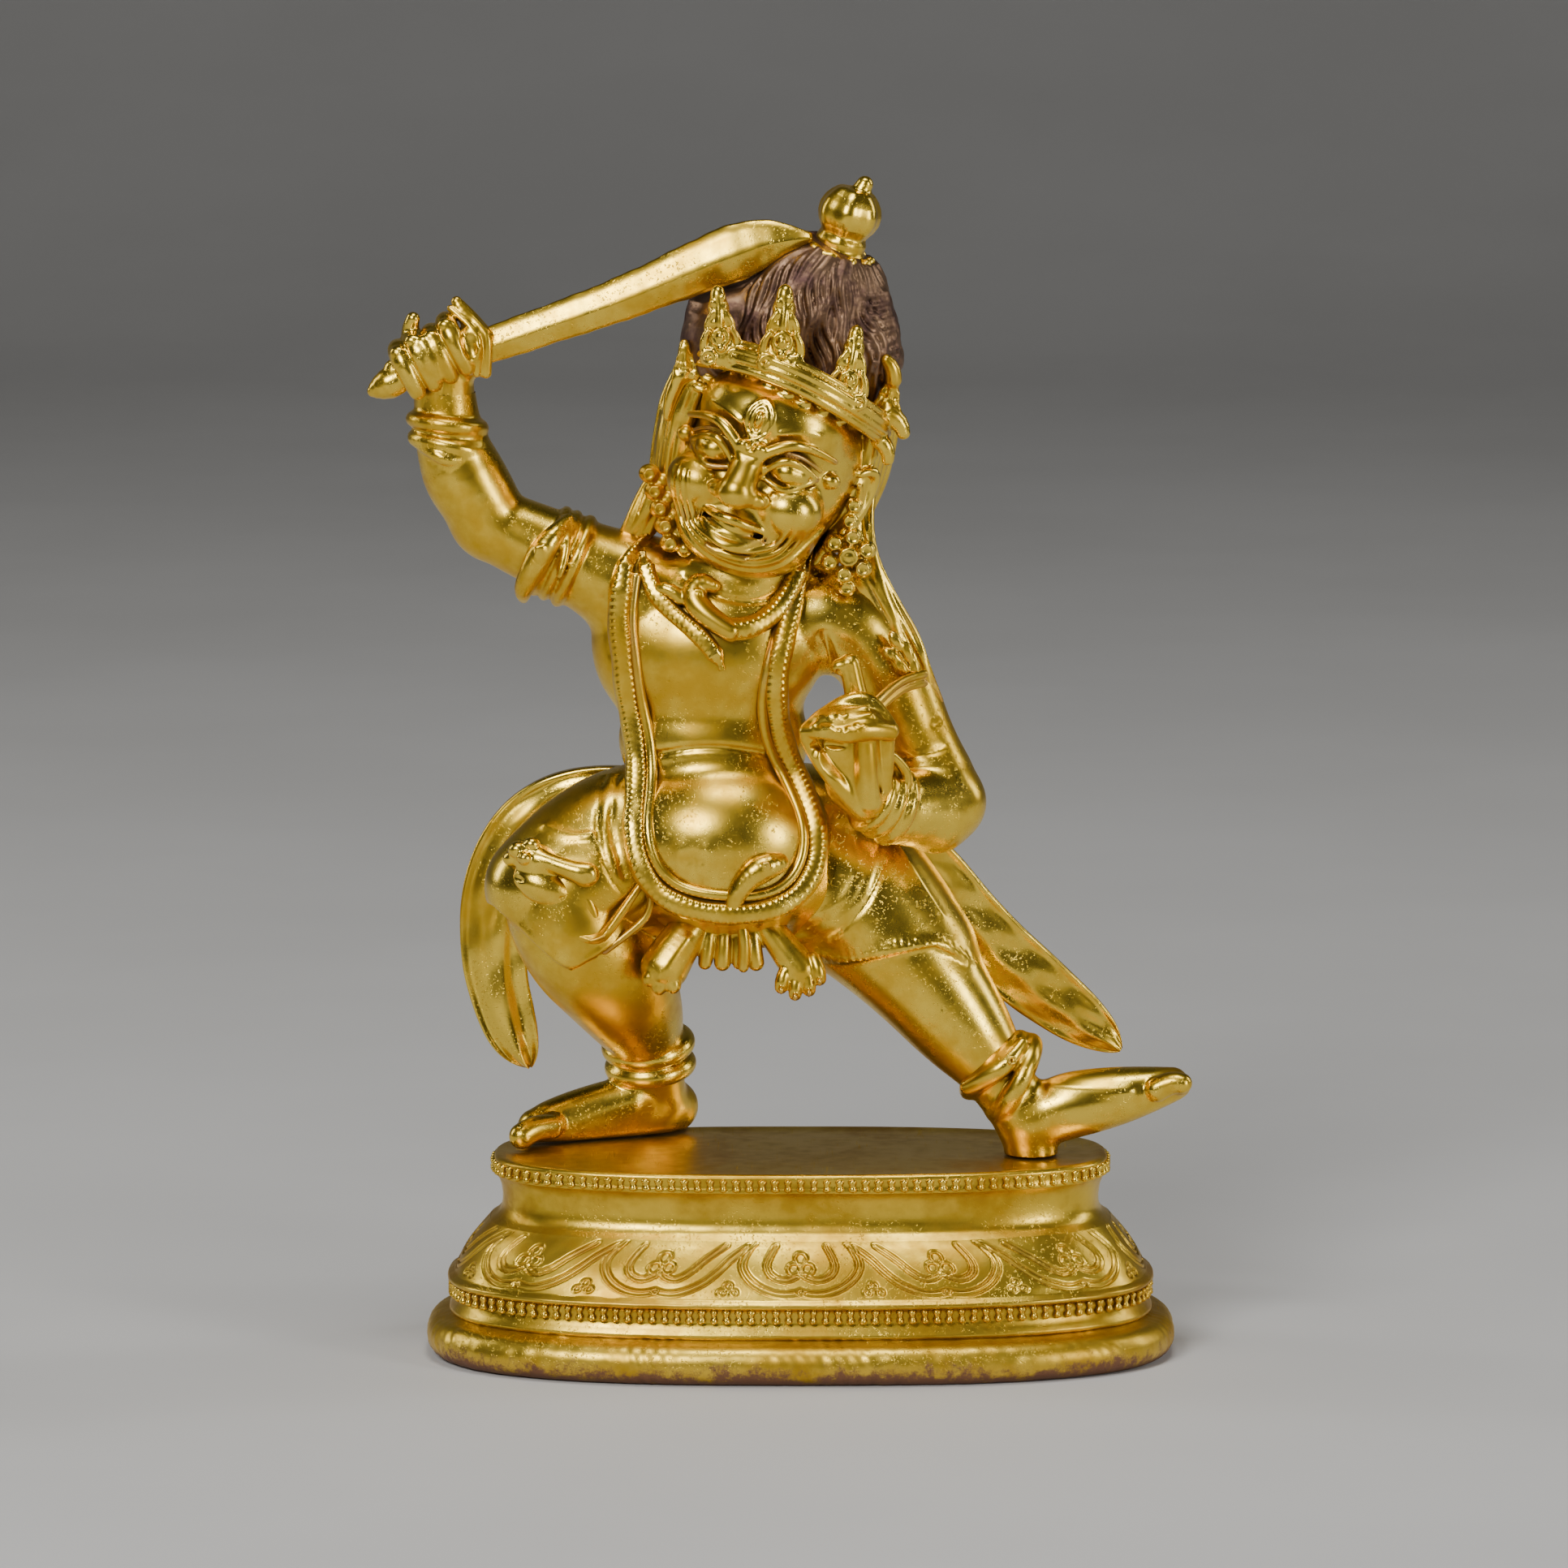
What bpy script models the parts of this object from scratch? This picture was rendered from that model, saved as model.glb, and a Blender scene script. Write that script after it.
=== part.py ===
"""Gilt copper statue of a striding, three-eyed guardian on an oval lotus base.

Two pieces: the figure, one casting with its sword, cup, crown and snakes, and the
hollow lotus base that it stands on. Metres, +Z up, the figure faces -Y.
"""
import math

import bmesh
import bpy
import numpy as np
from mathutils import Euler, Matrix, Vector

# The base: overall sizes
BASE_WIDTH = 0.1082
BASE_DEPTH = 0.0590
BASE_HEIGHT = 0.0290
BASE_WALL = 0.0025
PLATE_THICKNESS = 0.0030
BASE_ROUNDNESS = 2.7

# The base: heights of its mouldings above the surface it stands on
FOOT_HEIGHT = 0.0058
LOWER_BEAD_HEIGHT = 0.0097
PETAL_FOOT_HEIGHT = 0.0117
PETAL_TOP_HEIGHT = 0.0195
NECK_HEIGHT = 0.0227
UPPER_BEAD_DROP = 0.0016

# The base: how far each moulding stands in from the rolled foot
FOOT_FLAT_INSET = 0.0026
LOWER_NECK_INSET = 0.0042
LOWER_BEAD_INSET = 0.0029
PETAL_FOOT_INSET = 0.0040
PETAL_TOP_INSET = 0.0092
NECK_INSET = 0.0110
UPPER_BEAD_INSET = 0.0093
PETAL_BULGE = 0.0007
FILLET = 0.0005

# The base: the two rows of beads
BEAD_HEIGHT = 0.0017
BEAD_DEPTH = 0.0007
UPPER_BEAD_PITCH = 0.00195
LOWER_BEAD_PITCH = 0.00177
RING_SIDES = 72
HOLLOW_SIDES = 40

# The figure
FIGURE_HEIGHT = 0.1410
FOOT_GAP = 0.0003
FIGURE_TRIANGLES = 6400
DRAWN_HEIGHT = 141.0
VOXEL = 0.42
SMOOTHING_STEPS = 2

# Places on the figure are drawn in units of FIGURE_HEIGHT / DRAWN_HEIGHT, close to a
# millimetre: x to the viewer's right, y away from the viewer, z up from the plate,
# with the centre of the plate at 0, 0, 0.
UNIT = FIGURE_HEIGHT / DRAWN_HEIGHT

# The head's own frame: x across the face, -y out of the face, z up through the crown
HEAD_CENTRE = Vector((-4.3, -1.5, 98.5))
HEAD_TILT = math.radians(17)
HEAD_TURN = math.radians(-12)
HEAD_NOD = math.radians(3)

# The torso: centre and radii of each swelling, from the hips up
TORSO = (
    ((-8.5, 4.0, 37.5), (17.0, 11.0, 9.5)),
    ((-10.0, -2.0, 39.5), (15.0, 12.5, 8.0)),
    ((-11.5, -2.0, 46.0), (16.2, 13.5, 12.5)),
    ((-12.5, 0.5, 60.0), (13.6, 9.5, 11.0)),
    ((-12.4, 1.0, 72.5), (15.6, 9.8, 12.0)),
    ((-18.5, -3.5, 73.0), (7.5, 5.5, 7.0)),
    ((-5.5, -3.5, 72.0), (7.5, 5.5, 7.0)),
    ((-22.0, 1.5, 74.5), (8.0, 7.5, 11.5)),
)


def clear_scene():
    for thing in list(bpy.data.objects):
        bpy.data.objects.remove(thing, do_unlink=True)


def new_collection(name):
    group = bpy.data.collections.new(name)
    bpy.context.scene.collection.children.link(group)
    return group


def metal(name, colour, roughness):
    material = bpy.data.materials.new(name)
    material.use_nodes = True
    shader = material.node_tree.nodes["Principled BSDF"]
    shader.inputs["Base Color"].default_value = (*colour, 1.0)
    shader.inputs["Roughness"].default_value = roughness
    shader.inputs["Metallic"].default_value = 1.0
    return material


def oval(half_width, half_depth, count):
    """Evenly spaced points round a superellipse, from +X towards +Y."""
    dense = np.linspace(0.0, 2.0 * math.pi, 2881)
    power = 2.0 / BASE_ROUNDNESS
    x = half_width * np.sign(np.cos(dense)) * np.abs(np.cos(dense)) ** power
    y = half_depth * np.sign(np.sin(dense)) * np.abs(np.sin(dense)) ** power
    run = np.concatenate([[0.0], np.cumsum(np.hypot(np.diff(x), np.diff(y)))])
    steps = np.arange(count) / count * run[-1]
    return np.interp(steps, run, x), np.interp(steps, run, y), run[-1]


def oval_ring(body, inset, height, count=RING_SIDES):
    x, y, _ = oval(BASE_WIDTH / 2 - inset, BASE_DEPTH / 2 - inset, count)
    return [body.verts.new((px, py, height)) for px, py in zip(x, y)]


def bead_ring(body, inset, height, pitch):
    """A ring with one crest and one hollow for each bead of the row."""
    half_width = BASE_WIDTH / 2 - inset
    half_depth = BASE_DEPTH / 2 - inset
    length = oval(half_width, half_depth, 8)[2]
    beads = round(length / pitch)
    outer_x, outer_y, _ = oval(half_width, half_depth, 2 * beads)
    inner_x, inner_y, _ = oval(half_width - BEAD_DEPTH, half_depth - BEAD_DEPTH, 2 * beads)
    ring = []
    for i in range(2 * beads):
        crest = i % 2 == 0
        x = outer_x[i] if crest else inner_x[i]
        y = outer_y[i] if crest else inner_y[i]
        ring.append(body.verts.new((x, y, height)))
    return ring


def bridge(body, lower, upper):
    """Faces between two closed rings that may have unlike numbers of points."""
    i = 0
    j = 0
    while i < len(lower) or j < len(upper):
        a = lower[i % len(lower)]
        b = upper[j % len(upper)]
        next_a = (i + 1) / len(lower)
        next_b = (j + 1) / len(upper)
        if abs(next_a - next_b) < 1e-9:
            body.faces.new((a, lower[(i + 1) % len(lower)], upper[(j + 1) % len(upper)], b))
            i += 1
            j += 1
        elif next_a < next_b:
            body.faces.new((a, lower[(i + 1) % len(lower)], b))
            i += 1
        else:
            body.faces.new((a, upper[(j + 1) % len(upper)], b))
            j += 1


def outer_profile(body):
    """The base's outside, from the flat under the foot up to the edge of the plate."""
    rings = [oval_ring(body, FOOT_FLAT_INSET, 0.0)]
    for degrees in (-45, -15, 15, 45, 75):
        angle = math.radians(degrees)
        height = FOOT_HEIGHT / 2 * (1 + math.sin(angle))
        inset = FOOT_FLAT_INSET * (1 - math.cos(angle))
        rings.append(oval_ring(body, inset, height))
    half_bead = BEAD_HEIGHT / 2
    rings.append(oval_ring(body, LOWER_NECK_INSET, FOOT_HEIGHT + FILLET))
    rings.append(oval_ring(body, LOWER_NECK_INSET, LOWER_BEAD_HEIGHT - half_bead))
    rings.append(bead_ring(body, LOWER_BEAD_INSET, LOWER_BEAD_HEIGHT, LOWER_BEAD_PITCH))
    rings.append(oval_ring(body, LOWER_NECK_INSET, LOWER_BEAD_HEIGHT + half_bead))
    for step in (0.0, 0.33, 0.66, 1.0):
        height = PETAL_FOOT_HEIGHT + (PETAL_TOP_HEIGHT - PETAL_FOOT_HEIGHT) * step
        straight = PETAL_FOOT_INSET + (PETAL_TOP_INSET - PETAL_FOOT_INSET) * step
        rings.append(oval_ring(body, straight - PETAL_BULGE * math.sin(math.pi * step), height))
    rings.append(oval_ring(body, NECK_INSET - FILLET, PETAL_TOP_HEIGHT + 2 * FILLET))
    rings.append(oval_ring(body, NECK_INSET, NECK_HEIGHT))
    bead_middle = BASE_HEIGHT - UPPER_BEAD_DROP
    lip_inset = UPPER_BEAD_INSET + BEAD_DEPTH
    rings.append(oval_ring(body, lip_inset, bead_middle - half_bead - FILLET))
    rings.append(bead_ring(body, UPPER_BEAD_INSET, bead_middle, UPPER_BEAD_PITCH))
    rings.append(oval_ring(body, lip_inset, BASE_HEIGHT - FILLET))
    rings.append(oval_ring(body, lip_inset + 2 * FILLET, BASE_HEIGHT))
    return rings


def hollow_profile(body):
    """The base's inside, from the flat under the foot up to the underside of the plate."""
    foot_inset = LOWER_NECK_INSET + BASE_WALL
    petal_inset = PETAL_TOP_INSET + BASE_WALL
    neck_inset = NECK_INSET + BASE_WALL
    ceiling = BASE_HEIGHT - PLATE_THICKNESS
    rings = []
    for inset, height in (
        (foot_inset, 0.0),
        (foot_inset, LOWER_BEAD_HEIGHT),
        (petal_inset, PETAL_TOP_HEIGHT - BASE_WALL),
        (neck_inset, NECK_HEIGHT),
        (neck_inset, ceiling),
    ):
        rings.append(oval_ring(body, inset, height, HOLLOW_SIDES))
    return rings


def make_base(group, material):
    body = bmesh.new()
    outside = outer_profile(body)
    inside = hollow_profile(body)
    for lower, upper in zip(outside, outside[1:]):
        bridge(body, lower, upper)
    for lower, upper in zip(inside, inside[1:]):
        bridge(body, upper, lower)
    bridge(body, inside[0], outside[0])
    body.faces.new(outside[-1])
    body.faces.new(list(reversed(inside[-1])))
    bmesh.ops.recalc_face_normals(body, faces=body.faces)
    mesh = bpy.data.meshes.new("lotus_base")
    body.to_mesh(mesh)
    body.free()
    mesh.materials.append(material)
    mesh.shade_smooth()
    mesh.set_sharp_from_angle(angle=math.radians(40))
    base = bpy.data.objects.new("lotus_base", mesh)
    group.objects.link(base)
    return base


def head_to_figure(point):
    """A point of the head's own frame, in the figure's frame."""
    turn = Matrix.Rotation(HEAD_TURN, 3, "Z")
    nod = Matrix.Rotation(HEAD_NOD, 3, "X")
    tilt = Matrix.Rotation(HEAD_TILT, 3, "Y")
    return HEAD_CENTRE + tilt @ turn @ nod @ Vector(point)


def torso_front(x, z, stand_off):
    """A point on the front of the torso, stand_off proud of it."""
    front = 0.0
    for centre, radii in TORSO:
        left = 1 - ((x - centre[0]) / radii[0]) ** 2 - ((z - centre[2]) / radii[2]) ** 2
        if left > 0:
            front = min(front, centre[1] - radii[1] * math.sqrt(left))
    return Vector((x, front - stand_off, z))


class Clay:
    """Gathers the overlapping forms that are then fused into one casting."""

    def __init__(self):
        self.body = bmesh.new()

    def add(self, mesh, place):
        mesh.transform(place)
        self.body.from_mesh(mesh)
        bpy.data.meshes.remove(mesh)

    def ball(self, centre, radii, turn=(0, 0, 0)):
        if not hasattr(radii, "__len__"):
            radii = (radii, radii, radii)
        rotation = Euler([math.radians(a) for a in turn]).to_matrix().to_4x4()
        place = Matrix.Translation(Vector(centre)) @ rotation @ Matrix.Diagonal((*radii, 1))
        sphere = bmesh.new()
        bmesh.ops.create_uvsphere(sphere, u_segments=24, v_segments=16, radius=1.0)
        mesh = bpy.data.meshes.new("ball")
        sphere.to_mesh(mesh)
        sphere.free()
        self.add(mesh, place)

    def head_ball(self, centre, radii, turn=(0, 0, 0)):
        degrees = [math.degrees(a) for a in (HEAD_NOD, HEAD_TILT, HEAD_TURN)]
        spin = [a + b for a, b in zip(degrees, turn)]
        self.ball(head_to_figure(centre), radii, spin)

    def limb(self, points, radii, closed=False):
        """A round bar through the points, its radius changing from point to point."""
        curve = bpy.data.curves.new("limb", "CURVE")
        curve.dimensions = "3D"
        curve.bevel_depth = 1.0
        curve.bevel_resolution = 3
        curve.resolution_u = 6
        curve.use_fill_caps = not closed
        spline = curve.splines.new("NURBS")
        spline.points.add(len(points) - 1)
        spline.order_u = 3
        spline.use_endpoint_u = not closed
        spline.use_cyclic_u = closed
        if not hasattr(radii, "__len__"):
            radii = [radii] * len(points)
        for knot, point, radius in zip(spline.points, points, radii):
            knot.co = (*point, 1.0)
            knot.radius = radius
        thing = bpy.data.objects.new("limb", curve)
        bpy.context.scene.collection.objects.link(thing)
        bpy.context.view_layer.update()
        mesh = bpy.data.meshes.new_from_object(thing.evaluated_get(
            bpy.context.evaluated_depsgraph_get()))
        bpy.data.objects.remove(thing)
        bpy.data.curves.remove(curve)
        self.add(mesh, Matrix.Identity(4))
        if not closed:
            self.ball(points[0], radii[0])
            self.ball(points[-1], radii[-1])

    def ring(self, centre, axis, across, tube, squash=1.0, count=16):
        """A round ring about an axis; squash flattens it across its second direction."""
        axis = Vector(axis).normalized()
        first = axis.orthogonal().normalized()
        second = axis.cross(first)
        points = []
        for i in range(count):
            angle = 2 * math.pi * i / count
            reach = first * math.cos(angle) + second * math.sin(angle) * squash
            points.append(Vector(centre) + reach * across)
        self.limb(points, tube, closed=True)

    def panel(self, left, right, thickness, rows=24):
        """A sheet of cloth between two edges, each a smooth run through its points."""
        edges = []
        for edge in (left, right):
            knots = np.array(edge, dtype=float)
            run = np.linspace(0, len(knots) - 1, rows)
            edges.append(np.stack([np.interp(run, range(len(knots)), knots[:, k])
                                   for k in range(3)], axis=1))
        sheet = bmesh.new()
        grid = []
        for a, b in zip(*edges):
            grid.append([sheet.verts.new(a + (b - a) * share / 4) for share in range(5)])
        for row, following in zip(grid, grid[1:]):
            for k in range(4):
                sheet.faces.new((row[k], row[k + 1], following[k + 1], following[k]))
        sheet.normal_update()
        bmesh.ops.solidify(sheet, geom=sheet.faces, thickness=thickness)
        mesh = bpy.data.meshes.new("panel")
        sheet.to_mesh(mesh)
        sheet.free()
        self.add(mesh, Matrix.Translation((0, thickness / 2, 0)))

    def loft(self, sections):
        """A closed bar through sections that all have the same number of points."""
        bar = bmesh.new()
        rings = [[bar.verts.new(point) for point in section] for section in sections]
        for ring, following in zip(rings, rings[1:]):
            for k in range(len(ring)):
                m = (k + 1) % len(ring)
                bar.faces.new((ring[k], ring[m], following[m], following[k]))
        bar.faces.new(list(reversed(rings[0])))
        bar.faces.new(rings[-1])
        mesh = bpy.data.meshes.new("bar")
        bar.to_mesh(mesh)
        bar.free()
        self.add(mesh, Matrix.Identity(4))


def model_torso(clay):
    for centre, radii in TORSO:
        clay.ball(centre, radii)
    clay.limb([(-27, 2, 83), (-12, 3, 80), (7.5, 2, 76.4)], [6.0, 8.5, 6.2])
    clay.limb([(-11, 2, 78), (-8, 1, 84), (-6, 0, 91)], [9.0, 8.0, 8.0])
    clay.ball((-12, -13.6, 44.5), (4.5, 2.2, 4.5))


def model_right_arm(clay):
    """The raised arm, on the viewer's left."""
    clay.limb(
        [(-24, 1.5, 82), (-34, 0.5, 86.3), (-43.2, 0.5, 90.6), (-47.2, 0, 97), (-49.8, 0, 102),
         (-50.8, 0, 107.5), (-51.0, -0.5, 113)],
        [7.2, 6.0, 5.3, 6.2, 5.2, 4.4, 4.2],
    )
    clay.ball((-45.2, 0.5, 91.3), 4.9)
    for height, lean in ((101.6, 0.10), (105.2, 0.02)):
        clay.ring((-50.4, 0, height), (lean, 0, 1), 5.0, 1.2)
    clay.ring((-34.2, 0.5, 86.4), (1, 0, -0.38), 6.2, 1.2)
    clay.ring((-36.4, 0.5, 87.2), (1, 0, -0.38), 6.2, 1.0)
    clay.limb([(-33.6, -6.0, 90), (-35.4, -6.8, 88.4), (-38, -6.5, 86.5)], [1.3, 2.1, 1.2])


def model_sword_hand(clay):
    clay.ball((-51, -0.2, 115.5), (4.6, 4.6, 5.0))
    grip_low = Vector((-59.3, -3.2, 111.4))
    grip_top = Vector((-45.2, -3.2, 118.2))
    along = (grip_top - grip_low).normalized()
    up = Vector((-along.z, 0, along.x))
    for number in range(4):
        knuckle = grip_low + along * (4.4 + 2.75 * number)
        clay.limb(
            [knuckle + up * 3.4 + Vector((0, 3.2, 0)),
             knuckle + up * 4.2 + Vector((0, -1.0, 0)),
             knuckle + up * 0.6 + Vector((0, -3.2, 0)),
             knuckle - up * 2.8 + Vector((0, -1.6, 0))],
            [1.5, 1.55, 1.5, 1.3],
        )
    clay.limb([(-49.5, 1, 112), (-46.2, -3, 114.2), (-45.5, -4.2, 118.4)], [1.9, 1.6, 1.3])


def model_sword(clay):
    pommel = Vector((-59.2, -3.2, 111.4))
    guard = Vector((-46.2, -3.2, 117.6))
    along = (guard - pommel).normalized()
    up = Vector((-along.z, 0, along.x))
    clay.limb([pommel, guard + along * 2], 1.9)
    clay.limb([pommel - along * 1.6, pommel + along * 1.4, pommel + along * 3.6],
              [1.0, 2.7, 1.6])
    clay.limb([guard + up * 4.7, guard + up * 1.5, guard - up * 4.8], [1.1, 2.0, 1.2])
    spine = ((-46.5, 116.6, 2.5), (-42.4, 117.8, 2.7), (-35.0, 120.4, 2.8),
             (-27.2, 123.1, 3.1), (-20.5, 125.8, 3.4), (-14.0, 128.6, 3.9),
             (-8.4, 130.8, 4.0), (-3.6, 132.2, 2.9), (1.2, 132.8, 0.8))
    sections = []
    for k, (x, z, half) in enumerate(spine):
        before = spine[max(k - 1, 0)]
        after = spine[min(k + 1, len(spine) - 1)]
        run = Vector((after[0] - before[0], 0, after[1] - before[1])).normalized()
        side = Vector((-run.z, 0, run.x))
        centre = Vector((x, -3.0, z))
        ridge = centre + side * half * 0.1
        swell = Vector((0, 0.8 + 0.22 * half, 0))
        sections.append([centre + side * half, ridge - swell, centre - side * half, ridge + swell])
    clay.loft(sections)


def model_left_arm(clay):
    """The arm that holds the skull cup, on the viewer's right."""
    clay.limb(
        [(4, 2, 77.5), (9.3, 1.5, 74.6), (13.4, 1, 67), (16.6, -0.5, 59), (20.4, -2.5, 51.8),
         (15.8, -8, 50.5), (10.9, -11.5, 53), (7.6, -13.5, 56)],
        [7.0, 6.6, 6.2, 5.8, 6.4, 5.6, 4.4, 4.2],
    )
    clay.ring((13.0, -10.2, 51.8), (-0.85, -0.45, 0.35), 5.1, 1.2)
    clay.ring((10.8, -11.8, 52.9), (-0.80, -0.50, 0.45), 4.9, 1.1)
    clay.ring((13.2, 1, 68.0), (0.35, -0.1, -1), 6.2, 0.9)


def model_cup(clay):
    """The skull cup, tipped towards the viewer, and the fingers that hold it."""
    clay.ball((6.2, -15.6, 60.2), (5.8, 5.2, 6.2))
    clay.ring((5.9, -15.8, 63.0), (-0.10, -0.50, 1), 5.9, 1.15)
    clay.ball((5.9, -15.2, 63.8), (4.8, 4.2, 1.9))
    clay.limb([(1.6, -17.5, 62), (2.8, -19.5, 58), (6.4, -17, 53)], [1.2, 1.5, 1.4])
    clay.limb([(4.6, -20.6, 60), (5.6, -20.4, 56.5), (8.0, -17, 52.4)], [1.2, 1.5, 1.4])
    clay.limb([(7.8, -20.6, 60), (8.2, -20.2, 56.5), (9.4, -17, 52.4)], [1.2, 1.5, 1.4])
    clay.limb([(10.9, -18.6, 61), (10.9, -18.4, 57), (10.8, -16, 53)], [1.2, 1.5, 1.4])
    clay.limb([(8.6, -11, 63), (7.0, -11.5, 68.4), (6.4, -11.4, 71.4)], [2.0, 1.6, 1.7])
    clay.limb([(4.4, -11.6, 67.6), (4.2, -11.6, 70.6)], [1.5, 1.6])


def model_right_leg(clay):
    """The bent leg, on the viewer's left."""
    clay.limb(
        [(-12, 4, 41), (-22, 1, 42), (-30, -2, 41), (-35.6, -4.0, 37.5), (-31.5, -3.5, 31),
         (-26.8, 0, 25.5), (-24.2, 5, 20), (-22.6, 8.5, 16), (-21.8, 12.0, 11),
         (-21.2, 14.5, 5)],
        [12.0, 11.4, 10.2, 8.0, 9.1, 8.7, 7.2, 5.6, 4.6, 4.6],
    )
    clay.ring((-22.0, 10.6, 13.6), (0.16, 0.5, -1), 5.4, 1.2)
    clay.ring((-21.6, 12.2, 10.6), (0.10, 0.4, -1), 5.2, 1.2)
    clay.limb([(-18.8, 17.0, 3.4), (-21.6, 14.5, 3.8), (-28, 11.6, 3.4), (-35, 8.4, 2.6),
               (-38.4, 6.8, 2.2)], [3.9, 4.6, 4.2, 3.6, 2.6])
    clay.limb([(-25, 10.6, 5.6), (-31, 9.4, 4.8), (-36, 7.6, 3.4)], [3.4, 2.8, 2.0])
    for number in range(5):
        spread = number - 2.0
        root = Vector((-34.5 + 0.5 * number, 7.6 + spread * 1.5, 2.4))
        tip = Vector((-42.0 + 0.85 * number, 4.8 + spread * 1.95, 1.6))
        clay.limb([root, (root + tip) / 2 + Vector((0, 0, 0.5)), tip],
                  [1.3, 1.25, 1.3 if number == 0 else 1.05])


def model_left_leg(clay):
    """The stretched leg, on the viewer's right, resting on its heel."""
    clay.limb(
        [(-2, 5, 41), (4.4, 4, 38.0), (10.8, 2.5, 32.9), (17.2, 0.5, 26.2), (22.8, -1, 19.0),
         (27.0, -2, 13.6), (29.8, -2.6, 9.2), (32.4, -3, 5)],
        [12.0, 11.4, 10.3, 8.6, 7.2, 5.3, 4.5, 4.3],
    )
    clay.ring((28.0, -2.2, 12.9), (0.72, -0.1, -0.72), 4.8, 1.05)
    clay.ring((30.6, -2.6, 11.2), (0.92, 0.1, -0.45), 5.4, 1.05)
    clay.limb([(32.8, -3, 4.6), (37, -3, 6.8), (43, -3, 8.0), (49, -3, 9.2), (53.4, -3, 10.2)],
              [4.2, 4.9, 4.6, 3.6, 2.5])
    clay.limb([(33, -3, 3.6), (33.2, -3, -1)], [3.8, 3.9])
    for number in range(5):
        spread = number - 2.0
        root = Vector((49.8, -3 + spread * 1.55, 9.8))
        tip = Vector((55.9 - 0.35 * abs(spread) - 0.4 * number, -3 + spread * 1.75,
                      11.0 - 0.35 * number))
        clay.limb([root, (root + tip) / 2 + Vector((0, 0, 0.6)), tip], [1.4, 1.25, 1.15])


def model_tiger_skin(clay):
    """The skin tied round the hips, its mask on the bent knee and its paws between."""
    clay.limb([(-14, 5, 46), (-22, 3, 46), (-31, 0, 43.5), (-37, -3, 39)], [11, 10.8, 9.6, 7.8])
    clay.limb([(0, 6, 44), (6, 5, 38.5), (11, 3.2, 33.8), (14, 2.0, 30.4)],
              [11.5, 11.8, 11.0, 10.0])
    clay.ring((-8.5, 3.5, 49.5), (0.08, 0.15, 1), 17.2, 1.6, squash=0.72)
    clay.ball((-37.6, -9.6, 43.4), (4.2, 3.6, 3.2), (0, 25, 0))
    clay.ball((-39.0, -12.0, 44.4), (1.8, 1.5, 1.6))
    clay.ball((-35.6, -12.2, 41.0), (1.6, 1.4, 1.5))
    clay.limb([(-35.5, -10.5, 45.6), (-32.5, -12.4, 43.4), (-30.0, -12.6, 42.6)], [1.2, 1.3, 1.9])
    clay.limb([(-35, -9.5, 36), (-31.5, -11.6, 33.5), (-27, -11, 32.5)], [2.6, 2.8, 2.0])
    clay.limb([(-15.0, -7.6, 35), (-17.6, -9.4, 31.6), (-19.2, -9.8, 28.6)], [2.2, 2.6, 3.1])
    clay.panel([(-15, -7, 36), (-13, -8, 32), (-12.4, -8, 28.8)],
               [(-6, -7, 35), (-5.5, -8, 32), (-5.6, -8, 29.0)], 2.4)
    clay.limb([(-12.4, -9.0, 34), (-11.8, -9.4, 29.2)], 1.1)
    clay.limb([(-9.0, -9.2, 34), (-9.0, -9.6, 29.2)], 1.1)
    clay.limb([(-4.6, -8.4, 34), (-2.0, -9.0, 30.6), (0.0, -9.2, 27.6)], [2.0, 2.2, 2.4])
    for number in range(3):
        toe = Vector((-2.2 + 2.2 * number, -9.8, 25.2 + 0.35 * number))
        clay.ball(toe, (1.3, 1.5, 1.7))
    clay.limb([(-29.5, -11, 44), (-25.5, -12.0, 38), (-23.5, -10.5, 33.5)], [0.8, 1.1, 0.8])


def model_scarf(clay):
    """The scarf behind the bent leg and its free end behind the stretched one."""
    clay.panel(
        [(-24.5, 8.5, 54.4), (-30.0, 9.5, 54.4), (-38.2, 10.5, 52), (-44.6, 11, 46.5),
         (-48.4, 11, 37.5), (-48.8, 10.5, 27), (-46.6, 10, 18.4), (-41.2, 9, 12.4)],
        [(-25.0, 8.5, 46), (-29.5, 9, 45), (-34.5, 9, 41.5), (-38.2, 9, 36),
         (-39.6, 9, 29.5), (-39.0, 9, 23), (-37.8, 8.5, 18.5), (-37.4, 8, 13)],
        2.2,
    )
    for share in (0.0, 0.5, 0.98):
        outer = ((-30.0, 8.6, 53.6), (-38.0, 9.5, 51.2), (-44.2, 10, 45.8), (-47.8, 10, 37.5),
                 (-48.2, 9.6, 27), (-46.0, 9.2, 18.6), (-40.8, 8.2, 13.0))
        inner = ((-29.5, 8.0, 45.6), (-34.6, 8.0, 42), (-38.4, 8.0, 36.2), (-39.9, 8.0, 29.5),
                 (-39.4, 8.0, 23), (-38.4, 7.6, 18.5), (-37.8, 7.2, 13.4))
        ridge = [Vector(a).lerp(Vector(b), share) for a, b in zip(outer, inner)]
        clay.limb(ridge, 1.0)
    clay.limb([(-16, 9, 50), (-24, 9, 50), (-31, 9.5, 49)], [2.5, 3.0, 3.0])
    clay.panel(
        [(14, 6.5, 49.4), (20.6, 7, 44.4), (29.0, 8, 33.0), (37.4, 8.6, 25.0),
         (44.2, 9, 18.6), (46.6, 9, 14.9)],
        [(9, 6.5, 45), (14.5, 7, 39), (23.0, 8, 28.0), (29.2, 8.6, 21.2), (38.8, 9, 14.9),
         (45.2, 9, 13.1)],
        2.2,
    )
    clay.limb([(13, 5.8, 46.8), (18, 6.2, 41.2), (26.4, 7.2, 30.6), (33.2, 7.8, 23.2),
               (41.4, 8.2, 17), (45.6, 8.4, 14.2)], 1.0)


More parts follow.
